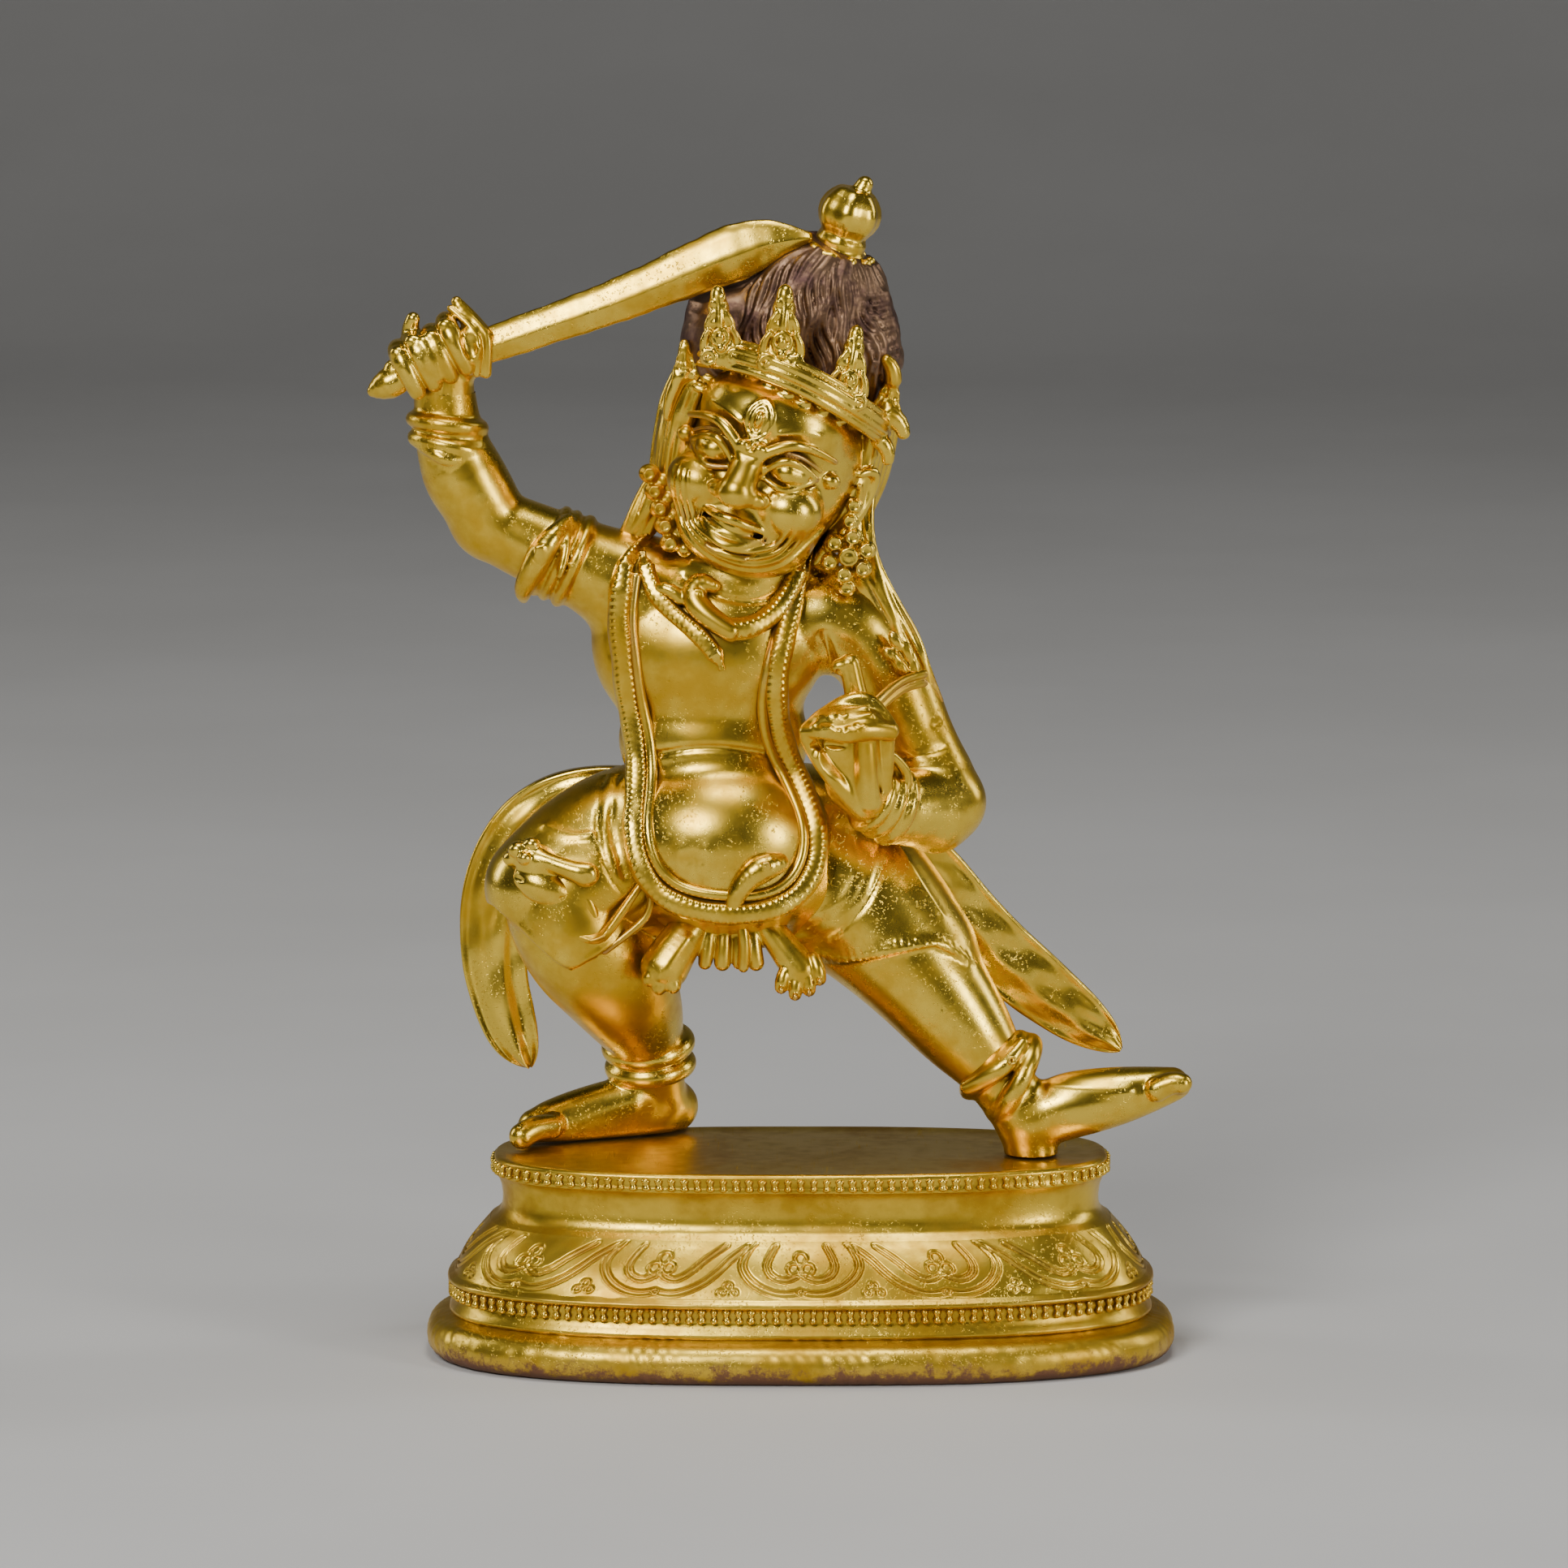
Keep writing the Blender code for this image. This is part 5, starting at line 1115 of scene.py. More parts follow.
def shape_snakes(torso):
    """The garland snake with its cord, the one that hangs and the one at the throat."""
    front = ((-25.0, 86.5), (-26.2, 80), (-25.5, 74), (-25.0, 68), (-23.6, 61), (-23.2, 55),
             (-24.0, 48), (-22.4, 42), (-18.5, 38.4), (-12.5, 37), (-6.0, 37), (-1.0, 38.6),
             (2.0, 42.5), (2.6, 48), (0.2, 54), (-2.6, 60), (-3.6, 66), (-3.4, 72),
             (-1.6, 79), (0.6, 85))
    dense = smooth_path([(x, z, 0) for x, z in front], 2.0)[:, :2]
    inward = np.array((-11.5, 60.0))
    garland = np.vstack([[(-20, 4, 91)], eased(torso.front(dense, 0.8), 5), [(1.5, 3, 88)]])
    outer = scaled_snake(garland, 1.75)
    inner = []
    for x, z in dense:
        gap = inward - (x, z)
        step = gap / np.linalg.norm(gap * (1.0, 0.45))
        inner.append((x + 2.1 * step[0], z + 1.2 * step[1]))
    cord = torso.front(inner, 0.4)
    smooth = tube(smooth_path(eased(cord, 5), 0.5), 0.8, 12)
    throat = torso.front(((-22.6, 87.5), (-21.8, 83), (-18.2, 79.2), (-14.6, 76.6),
                          (-11.6, 73.0), (-11.2, 71.4)), 0.3)
    hanging = scaled_snake(throat, 1.35)
    loop = torso.front(((0.4, 87.0), (-1.6, 81.2), (-5.8, 77.6), (-10.0, 77.0),
                        (-13.2, 78.6), (-15.4, 81.4)), 0.6)
    collar = scaled_snake(loop, 1.6)
    return together([outer, smooth, hanging, collar])


def shape_snake_heads(torso):
    """The snake's head below the navel and the curled one at the throat."""
    wax = Wax((-20, -20, 33), (4, -8, 50), 0.18)
    neck = ((-10.0, 37.0), (-9.4, 39.6), (-7.6, 42.2), (-5.4, 43.8), (-3.2, 44.2))
    wax.bar(torso.front(neck, 0.5), [1.3, 1.4, 1.7, 2.3, 1.5], 0.4)
    x, y, z = torso.front(((-5.0, 43.6),), 2.2)[0]
    wax.ring((x, y - 0.25, z + 0.5), (0, 1, 0.2), 0.62, 0.2, 0.1)
    wax.ball((x, y - 0.3, z + 0.5), 0.3, 0.1)
    wax.channel([(x + 3.2, y + 0.6, z - 0.3), (x + 1.6, y - 0.2, z - 0.8), (x + 0.2, y, z - 1.4)],
                0.2, 0.2)
    upper = Wax((-21, -18, 70), (-5, -3, 90), 0.18)
    curl = ((-10.0, 77.0), (-13.2, 78.8), (-15.6, 81.6), (-14.4, 84.0), (-12.4, 83.2))
    upper.bar(torso.front(curl, 1.0), [1.5, 1.7, 1.9, 1.6, 1.0], 0.4)
    x, y, z = torso.front(((-14.6, 82.2),), 2.4)[0]
    upper.ring((x, y - 0.3, z), (0, 1, 0), 0.7, 0.22, 0.1)
    upper.ball((x, y - 0.3, z), 0.34, 0.1)
    upper.bar([(x - 2.6, y + 1.2, z - 0.8), (x - 4.0, y + 1.4, z + 0.8), (x - 5.6, y + 1.8, z + 0.6)],
              [1.0, 1.2, 0.7], 0.4)
    return together([wax.skin(), upper.skin()])


# The sword

def shape_sword():
    """The curved blade, with a ridge along each face."""
    spine = smooth_path([(-48.5, 115.6, 2.3), (-46.5, 116.5, 2.5), (-42.4, 117.8, 2.7),
                         (-35.0, 120.4, 2.8), (-27.2, 123.1, 3.1), (-20.5, 125.8, 3.4),
                         (-14.0, 128.6, 3.9), (-8.4, 130.8, 4.2), (-3.6, 132.4, 3.1),
                         (1.6, 132.6, 0.6)], 0.5)
    # The route is drawn as x, z and half the blade's width
    centre = np.column_stack([spine[:, 0], np.full(len(spine), -3.0), spine[:, 1]])
    half = spine[:, 2:3]
    run = np.arange(len(spine))[:, None] * 0.5
    across = np.array([[-1.0, -0.94, -0.6, -0.15, 0.05, 0.12, 0.4, 0.8, 0.96, 1.0,
                        0.96, 0.8, 0.4, 0.12, 0.05, -0.15, -0.6, -0.94]])
    out = np.array([[0.0, 0.22, 0.5, 0.86, 1.0, 0.99, 0.8, 0.46, 0.24, 0.0,
                     -0.24, -0.46, -0.8, -0.99, -1.0, -0.86, -0.5, -0.22]])
    thick = 0.75 + 0.24 * half
    uneven = 1 + 0.015 * np.sin(run * 0.8) + 0.01 * np.sin(run * 2.1 + 1)
    return sweep(centre, across * half * uneven, out * thick * uneven)


# The lotus base, in millimetres from the middle of its foot

BASE_MIDDLE = np.array(((BASE_LOW.x + BASE_HIGH.x) / 2, (BASE_LOW.y + BASE_HIGH.y) / 2, BASE_LOW.z))
MM_PER_METRE = 1000
HALF_WIDTH = (BASE_HIGH.x - BASE_LOW.x) * MM_PER_METRE / 2
HALF_DEPTH = (BASE_HIGH.y - BASE_LOW.y) * MM_PER_METRE / 2
BASE_TALL = (BASE_HIGH.z - BASE_LOW.z) * MM_PER_METRE
ROUNDNESS = 2.7    # the power of the oval, where 2 would be an ellipse
OVAL_STEPS = 5761


def oval(inset, count):
    """Evenly spaced points round the base's oval, from the front centre to the right."""
    turn = np.linspace(0, 2 * math.pi, OVAL_STEPS)
    power = 2 / ROUNDNESS
    x = (HALF_WIDTH - inset) * np.sign(np.sin(turn)) * np.abs(np.sin(turn)) ** power
    y = -(HALF_DEPTH - inset) * np.sign(np.cos(turn)) * np.abs(np.cos(turn)) ** power
    run = np.concatenate([[0], np.cumsum(np.hypot(np.diff(x), np.diff(y)))])
    steps = np.arange(count) / count * run[-1]
    return np.column_stack([np.interp(steps, run, x), np.interp(steps, run, y)]), run[-1]


def oval_normals(ring):
    ahead = np.roll(ring, -1, axis=0) - np.roll(ring, 1, axis=0)
    normals = np.column_stack([ahead[:, 1], -ahead[:, 0]])
    return normals / np.linalg.norm(normals, axis=1)[:, None]


def stack_rings(rings):
    return np.vstack(rings), ring_quads(len(rings), len(rings[0]))[1]


def at_base(points):
    return BASE_MIDDLE + np.asarray(points, float) / MM_PER_METRE


def rough_noise(run, height, seed, size):
    """Small unevenness from the hammer and from wear, repeating round the base."""
    total = np.zeros_like(run)
    rng = np.random.default_rng(seed)
    for _ in range(14):
        turns = rng.integers(3, int(240 / size))
        total += np.sin(2 * math.pi * run * turns + rng.uniform(0, 6.3)
                        + height * rng.uniform(-2, 2)) * rng.uniform(0.3, 1)
    return total / 5


def shape_base_casting():
    """The base's casting without its petals and beads, and its rolled foot with the hollow."""
    count = 600
    share = np.arange(count) / count
    # Each row of the profile is an inset from the oval and a height, first up the hollow
    profile = [(13.5, 26.0), (13.5, 22.7), (11.7, 17.0), (6.7, 9.7), (6.7, 0.0), (4.6, 0.0),
               (2.6, 0.0)]
    sill = len(profile)
    for degrees in range(-80, 81, 16):
        angle = math.radians(degrees)
        profile.append((2.6 * (1 - math.cos(angle)), 2.9 * (1 + math.sin(angle))))
    profile += [(3.0, 5.95), (3.6, 6.3)]
    roll = len(profile)
    # The step above the roll, the seat of the lower beads and the ledge under the petals
    profile += [(3.25, 6.6), (3.35, 7.0), (3.75, 7.6), (4.05, 8.3),
                (4.15, 8.8), (4.0, 9.2), (3.95, 9.7), (4.0, 10.2), (3.7, 10.5), (3.25, 10.8),
                (3.0, 11.1), (3.2, 11.5), (3.9, 11.8), (4.1, 12.1)]
    lower = len(profile)
    # The neck above the petals, the seat of the upper beads and the rim of the plate
    profile += [(9.0, 19.2), (9.35, 19.6), (10.1, 20.1), (10.7, 20.8), (11.0, 21.8), (11.0, 23.2),
                (10.8, 24.6), (10.4, 25.7), (10.0, 26.2), (9.75, 26.5), (10.0, 26.9), (10.0, 27.4),
                (10.0, 27.9), (9.8, 28.3), (9.95, 28.7), (10.3, 28.95), (10.8, 29.0), (11.5, 28.85),
                (12.4, 28.72), (13.6, 28.68), (15.5, 28.72), (18.0, 28.8)]
    rings = []
    for place, (inset, height) in enumerate(profile):
        ring, _ = oval(inset, count)
        worn = 0.0
        if sill <= place < roll:
            worn = 0.16 * rough_noise(share, height, 3, 2.2) * (0.6 + 0.4 * np.sin(share * 25))
            chisel = np.clip(rough_noise(share, 0.0, 8, 12.0), 0, 1)
            worn = worn + 0.16 * chisel * np.sin(2 * math.pi * 150 * share + 1.6 * height)
        elif place >= roll:
            worn = 0.03 * rough_noise(share, height, 4, 6.0)
        out = oval_normals(ring)
        worn = np.minimum(worn, inset + 0.25) * np.ones(count)
        ring = ring + out * worn[:, None]
        lift = 0.0
        if sill <= place and height < BASE_TALL - 0.2:
            lift = 0.05 * rough_noise(share, height, 5, 5.0)
        rings.append(np.column_stack([ring, np.full(count, height) + lift]))
    # The plate itself, with shallow dents
    edge = rings[-1]
    for inner in (0.8, 0.6, 0.4, 0.2, 0.0):
        ring = edge * (inner, inner, 1)
        ring[:, 2] = 28.85 + 0.05 * np.sin(ring[:, 0] * 0.22) * np.cos(ring[:, 1] * 0.3)
        rings.append(ring)
    ceiling = rings[0] * (0, 0, 1)
    verts, faces = stack_rings([ceiling] + rings[:roll])
    foot = at_base(verts), faces
    parts = []
    for part in (rings[roll - 1:lower], rings[lower:]):
        verts, faces = stack_rings(part)
        parts.append((at_base(verts), faces))
    return together(parts), foot


PETALS = 12
CENTRE_PETAL = ((0.0, 1.35), (1.2, 0.85), (3.6, 1.0), (6.4, 2.4), (8.3, 4.6), (8.6, 6.6), (7.2, 8.8))
OPEN_PETAL = ((0.0, 1.35), (1.2, 0.85), (3.4, 1.0), (6.2, 2.4), (8.3, 4.6), (9.9, 6.8), (12.8, 8.8))
CENTRE_SCROLL = ((0.5, 3.9), (1.6, 3.1), (3.2, 3.2), (4.7, 4.3), (5.0, 6.2), (3.8, 8.3))
OPEN_SCROLL = ((0.5, 3.9), (1.6, 3.1), (3.0, 3.3), (4.6, 4.6), (6.0, 6.4), (8.6, 8.4))
CENTRE_SIDE = (CENTRE_PETAL, CENTRE_SCROLL)
OPEN_SIDE = (OPEN_PETAL, OPEN_SCROLL)
# Rings cut on each petal and between two petals: x, height and radius
PETAL_RINGS = ((-1.0, 4.9, 0.85), (1.0, 4.9, 0.85), (0.0, 6.5, 0.85))
GAP_RINGS = ((-0.85, 1.3, 0.5), (0.85, 1.3, 0.5), (0.0, 2.3, 0.55))


def line_gap(points, line):
    """How far each of some points lies from a polyline in the plane."""
    gap = np.full(len(points), 9.0)
    for a, b in zip(line, line[1:]):
        along = b - a
        share = np.clip((points - a) @ along / max(along @ along, 1e-9), 0, 1)
        reach = points - a - share[:, None] * along
        gap = np.minimum(gap, np.sqrt((reach ** 2).sum(axis=1)))
    return gap


def curved(points, mirror=1):
    path = smooth_path([(x, z, 0) for x, z in points], 0.4)[:, :2]
    return path * (mirror, 1)


def groove(gap, width):
    """How deep a cut line is, from 0 to 1, at some distances from its middle."""
    return np.exp(-(gap / width) ** 2)


def shape_petal_band():
    """The sloping band of petals, each with an outline, a scroll and three rings cut in it."""
    count = 1360
    rows = 60
    length = oval(6.6, 8)[1]
    low, high = 11.9, 19.5
    tall = 9.0
    run = np.arange(count) / count * length
    grid_run, grid_high = np.meshgrid(run, np.linspace(0, tall, rows), indexing="xy")
    relief = np.zeros((rows, count))
    pitch = length / PETALS
    for petal in range(PETALS):
        middle = petal * pitch
        local = (grid_run - middle + length / 2) % length - length / 2
        near = np.abs(local) < 1.5 * pitch
        points = np.column_stack([local[near], grid_high[near]])
        # Petals lean under their neighbours, away from the front and the back
        if petal % (PETALS // 2) == 0:
            open_side = 0
        else:
            open_side = 1 if petal // (PETALS // 4) % 2 else -1
        cut = np.zeros(len(points))
        for mirror in (-1, 1):
            outline, scroll = OPEN_SIDE if mirror == open_side else CENTRE_SIDE
            gap = line_gap(points, curved(outline, mirror))
            cut = np.maximum(cut, groove(gap - 0.42, 0.15))
            gap = line_gap(points, curved(scroll, mirror))
            cut = np.maximum(cut, groove(gap - 0.34, 0.14))
        swell = np.exp(-(local[near] / (0.42 * pitch)) ** 2) * np.sin(
            np.clip(grid_high[near] / tall, 0, 1) * math.pi)
        for x, z, size in PETAL_RINGS:
            gap = np.hypot(points[:, 0] - x, points[:, 1] - z)
            cut = np.maximum(cut, 0.9 * groove(gap - size, 0.16))
        for x, z, size in GAP_RINGS:
            gap = np.hypot(points[:, 0] - pitch / 2 - x, points[:, 1] - z)
            cut = np.maximum(cut, 0.8 * groove(gap - size, 0.14))
        current = relief[near]
        lifted = 0.18 * swell
        relief[near] = np.where(cut > 0.05, np.minimum(current, lifted - 0.46 * cut),
                                np.where(current < -0.01, current, np.maximum(current, lifted)))
    relief += 0.025 * rough_noise(grid_run / length, grid_high, 6, 3.0)
    rings = []
    for row in range(rows):
        share = row / (rows - 1)
        inset = 4.0 + 5.2 * share - 0.35 * math.sin(math.pi * share)
        ring, _ = oval(inset, count)
        out = oval_normals(ring)
        fade = min(1.0, 8 * share, 8 * (1 - share))
        move = relief[row] * fade
        tilt = 0.45
        ring = ring + out * move[:, None] * (1 - tilt * 0.3)
        rings.append(np.column_stack([ring, low + (high - low) * share + tilt * move]))
    verts, faces = stack_rings(rings)
    return at_base(verts), faces


def shape_bead_row(inset, height, pitch, tall, proud, waist):
    """A row of pinched beads, each a ridge with two rounded ends."""
    length = oval(inset, 8)[1]
    beads = int(round(length / pitch))
    ring, _ = oval(inset, beads)
    out = oval_normals(ring)
    side = np.column_stack([-out[:, 1], out[:, 0]])
    rng = np.random.default_rng(11)
    rows, sides = 9, 12
    lies = np.linspace(-1, 1, rows)
    around = np.linspace(0, 2 * math.pi, sides, endpoint=False)
    parts = []
    for bead in range(beads):
        size = rng.uniform(0.86, 1.08)
        swell = np.sqrt(np.clip(1 - lies ** 2, 0, 1)) * (1 - waist * np.exp(-(lies / 0.42) ** 2))
        swell = np.clip(swell, 0.02, None)
        wide = pitch * 0.47 * swell * size
        deep = proud * swell * rng.uniform(0.85, 1.05)
        lean = rng.uniform(-0.08, 0.08)
        across = wide[:, None] * np.cos(around)
        depth = deep[:, None] * np.sin(around)
        up = (lies * tall / 2)[:, None] * np.ones(sides)
        across = across + lean * up
        points = np.stack([
            ring[bead, 0] + side[bead, 0] * across + out[bead, 0] * depth,
            ring[bead, 1] + side[bead, 1] * across + out[bead, 1] * depth,
            height + up,
        ], axis=-1).reshape(-1, 3)
        index, faces = ring_quads(rows, sides)
        ends = [index[0, [0, k + 1, k, k]] for k in range(1, sides - 1)]
        ends += [index[-1, [0, k, k + 1, k + 1]] for k in range(1, sides - 1)]
        parts.append((points, np.vstack([faces, ends])))
    verts, faces = together(parts)
    return at_base(verts), faces


# Finishes

def add(tree, kind, settings=None, **inputs):
    """A node with its settings and inputs; an input may be another node's output."""
    made = tree.nodes.new(kind)
    for name, value in (settings or {}).items():
        setattr(made, name, value)
    for name, value in inputs.items():
        key = int(name[1:]) if name[0] == "i" and name[1:].isdigit() else name.replace("_", " ")
        socket = made.inputs[key]
        if isinstance(value, bpy.types.NodeSocket):
            tree.links.new(value, socket)
        else:
            socket.default_value = value
    return made


def maths(tree, operation, a, b=0.5, clamp=False):
    settings = {"operation": operation, "use_clamp": clamp}
    return add(tree, "ShaderNodeMath", settings, i0=a, i1=b).outputs[0]


def mixed(tree, share, a, b):
    made = tree.nodes.new("ShaderNodeMix")
    made.data_type = "RGBA"
    for socket, value in ((made.inputs[0], share), (made.inputs[6], a), (made.inputs[7], b)):
        if isinstance(value, bpy.types.NodeSocket):
            tree.links.new(value, socket)
        else:
            socket.default_value = value
    return made.outputs[2]


def ramp(tree, value, low, high):
    return add(tree, "ShaderNodeMapRange", {"interpolation_type": "SMOOTHSTEP"}, Value=value,
               From_Min=low, From_Max=high).outputs[0]


def noise(tree, place, scale, detail=4.0, rough=0.55):
    return add(tree, "ShaderNodeTexNoise", Vector=place, Scale=scale, Detail=detail,
               Roughness=rough).outputs[0]


def new_group(name, inputs, outputs):
    tree = bpy.data.node_groups.new(name, "ShaderNodeTree")
    for title, kind, value in inputs:
        socket = tree.interface.new_socket(name=title, in_out="INPUT", socket_type=kind)
        socket.default_value = value
    for title, kind in outputs:
        tree.interface.new_socket(name=title, in_out="OUTPUT", socket_type=kind)
    source = tree.nodes.new("NodeGroupInput")
    sink = tree.nodes.new("NodeGroupOutput")
    place = tree.nodes.new("ShaderNodeTexCoord").outputs["Object"]
    return tree, source, sink, place


FLOAT = "NodeSocketFloat"
COLOUR = "NodeSocketColor"


def gilding_tone():
    tree, source, sink, place = new_group(
        "gilding_tone",
        [("Bright Gold", COLOUR, (1, 0.7, 0.3, 1)), ("Deep Gold", COLOUR, (0.8, 0.5, 0.2, 1)),
         ("Patches per Metre", FLOAT, 60.0)],
        [("Color", COLOUR), ("Thinness", FLOAT)],
    )
    broad = noise(tree, place, source.outputs["Patches per Metre"])
    finer = noise(tree, place, maths(tree, "MULTIPLY", source.outputs["Patches per Metre"], 7.0))
    both = maths(tree, "ADD", maths(tree, "MULTIPLY", broad, 0.7), maths(tree, "MULTIPLY", finer, 0.3))
    thin = ramp(tree, both, 0.38, 0.66)
    colour = mixed(tree, thin, source.outputs["Bright Gold"], source.outputs["Deep Gold"])
    tree.links.new(colour, sink.inputs["Color"])
    tree.links.new(thin, sink.inputs["Thinness"])
    return tree


def rubbed_copper():
    tree, source, sink, place = new_group(
        "rubbed_copper",
        [("Amount", FLOAT, 0.5), ("Reach", FLOAT, 0.0012), ("Patches per Metre", FLOAT, 220.0)],
        [("Mask", FLOAT)],
    )
    inside = add(tree, "ShaderNodeAmbientOcclusion",
                 {"inside": True, "only_local": True, "samples": 4},
                 Distance=source.outputs["Reach"]).outputs["AO"]
    proud = ramp(tree, maths(tree, "SUBTRACT", 1.0, inside), 0.30, 0.75)
    patch = ramp(tree, noise(tree, place, source.outputs["Patches per Metre"]), 0.42, 0.62)
    spot = ramp(tree, noise(tree, place, maths(tree, "MULTIPLY", source.outputs["Patches per Metre"],
                                               0.28)), 0.5, 0.66)
    both = maths(tree, "MULTIPLY", proud, maths(tree, "MAXIMUM", patch, spot))
    tree.links.new(maths(tree, "MULTIPLY", both, source.outputs["Amount"], True),
                   sink.inputs["Mask"])
    return tree


def grime_and_painted_shade():
    tree, source, sink, place = new_group(
        "grime_and_painted_shade",
        [("Amount", FLOAT, 0.5), ("Reach", FLOAT, 0.003), ("Patches per Metre", FLOAT, 300.0)],
        [("Mask", FLOAT), ("Shade", FLOAT)],
    )
    # Grime and painted shade: where the surface is hidden from open air, Mask lays brown grime that also
    # paints shade into the deepest recesses, and Shade is painted shade over a wider reach
    open_air = add(tree, "ShaderNodeAmbientOcclusion", {"samples": 4},
                   Distance=source.outputs["Reach"]).outputs["AO"]
    hidden = maths(tree, "SUBTRACT", 1.0, open_air)
    patch = noise(tree, place, source.outputs["Patches per Metre"], 5.0)
    caked_and_shaded = ramp(tree, maths(tree, "ADD", hidden, maths(tree, "MULTIPLY", patch, 0.35)), 0.72, 1.05)
    tree.links.new(maths(tree, "MULTIPLY", caked_and_shaded, source.outputs["Amount"], True),
                   sink.inputs["Mask"])
    tree.links.new(ramp(tree, hidden, 0.25, 0.85), sink.inputs["Shade"])
    return tree


def fine_scratches():
    tree, source, sink, place = new_group(
        "fine_scratches",
        [("Lines per Metre", FLOAT, 2200.0), ("Density", FLOAT, 0.5)],
        [("Height", FLOAT), ("Mask", FLOAT)],
    )
    total = None
    for turn, stretch in (((0.3, 0.5, 0.4), 0.045), ((0.2, -0.7, 1.3), 0.035),
                          ((1.1, 0.4, -0.5), 0.05)):
        turned_place = add(tree, "ShaderNodeMapping", Vector=place, Rotation=turn,
                           Scale=(1.0, stretch, 1.0)).outputs[0]
        lines = noise(tree, turned_place, source.outputs["Lines per Metre"], 2.0, 0.5)
        line = ramp(tree, lines, 0.635, 0.725)
        total = line if total is None else maths(tree, "MAXIMUM", total, line)
    where = ramp(tree, noise(tree, place, 130.0), 0.62, 0.38)
    gate = maths(tree, "MULTIPLY", maths(tree, "MULTIPLY", total, where),
                 source.outputs["Density"], True)
    tree.links.new(maths(tree, "MULTIPLY", gate, -1.0), sink.inputs["Height"])
    tree.links.new(gate, sink.inputs["Mask"])
    return tree


def cast_skin():
    tree, source, sink, place = new_group(
        "cast_skin",
        [("Dimples per Metre", FLOAT, 420.0), ("Pits", FLOAT, 0.4)],
        [("Height", FLOAT), ("Pit Mask", FLOAT)],
    )
    dimples = noise(tree, place, source.outputs["Dimples per Metre"], 3.0)
    cells = add(tree, "ShaderNodeTexVoronoi", Vector=place,
                Scale=maths(tree, "MULTIPLY", source.outputs["Dimples per Metre"], 1.4)).outputs[0]
    chance = ramp(tree, noise(tree, place, maths(tree, "MULTIPLY",
                                                 source.outputs["Dimples per Metre"], 0.5)), 0.56, 0.66)
    pit = maths(tree, "MULTIPLY", maths(tree, "MULTIPLY", ramp(tree, cells, 0.22, 0.08), chance),
                source.outputs["Pits"], True)
    height = maths(tree, "SUBTRACT", maths(tree, "MULTIPLY", dimples, 0.5), pit)
    tree.links.new(height, sink.inputs["Height"])
    tree.links.new(pit, sink.inputs["Pit Mask"])
    return tree


GROUPS = {make.__name__: make() for make in (gilding_tone, rubbed_copper, grime_and_painted_shade,
                                             fine_scratches, cast_skin)}


def group(tree, name, **inputs):
    return add(tree, "ShaderNodeGroup", {"node_tree": GROUPS[name]}, **inputs)


# Painted shade: the recesses are shaded towards the deep gold scaled by these shares
PAINTED_SHADE_SHARES = (0.42, 0.36, 0.3)    # of the deep gold's red, green and blue
PIT_BROWN = (0.12, 0.06, 0.03, 1)
# Brown grime in the deepest recesses, which also paints shade there
GRIME_AND_SHADE_BROWN = (0.10, 0.055, 0.03, 1)
RAGGED_HEIGHT = 0.014    # metres by which the bare edge of the foot may wander


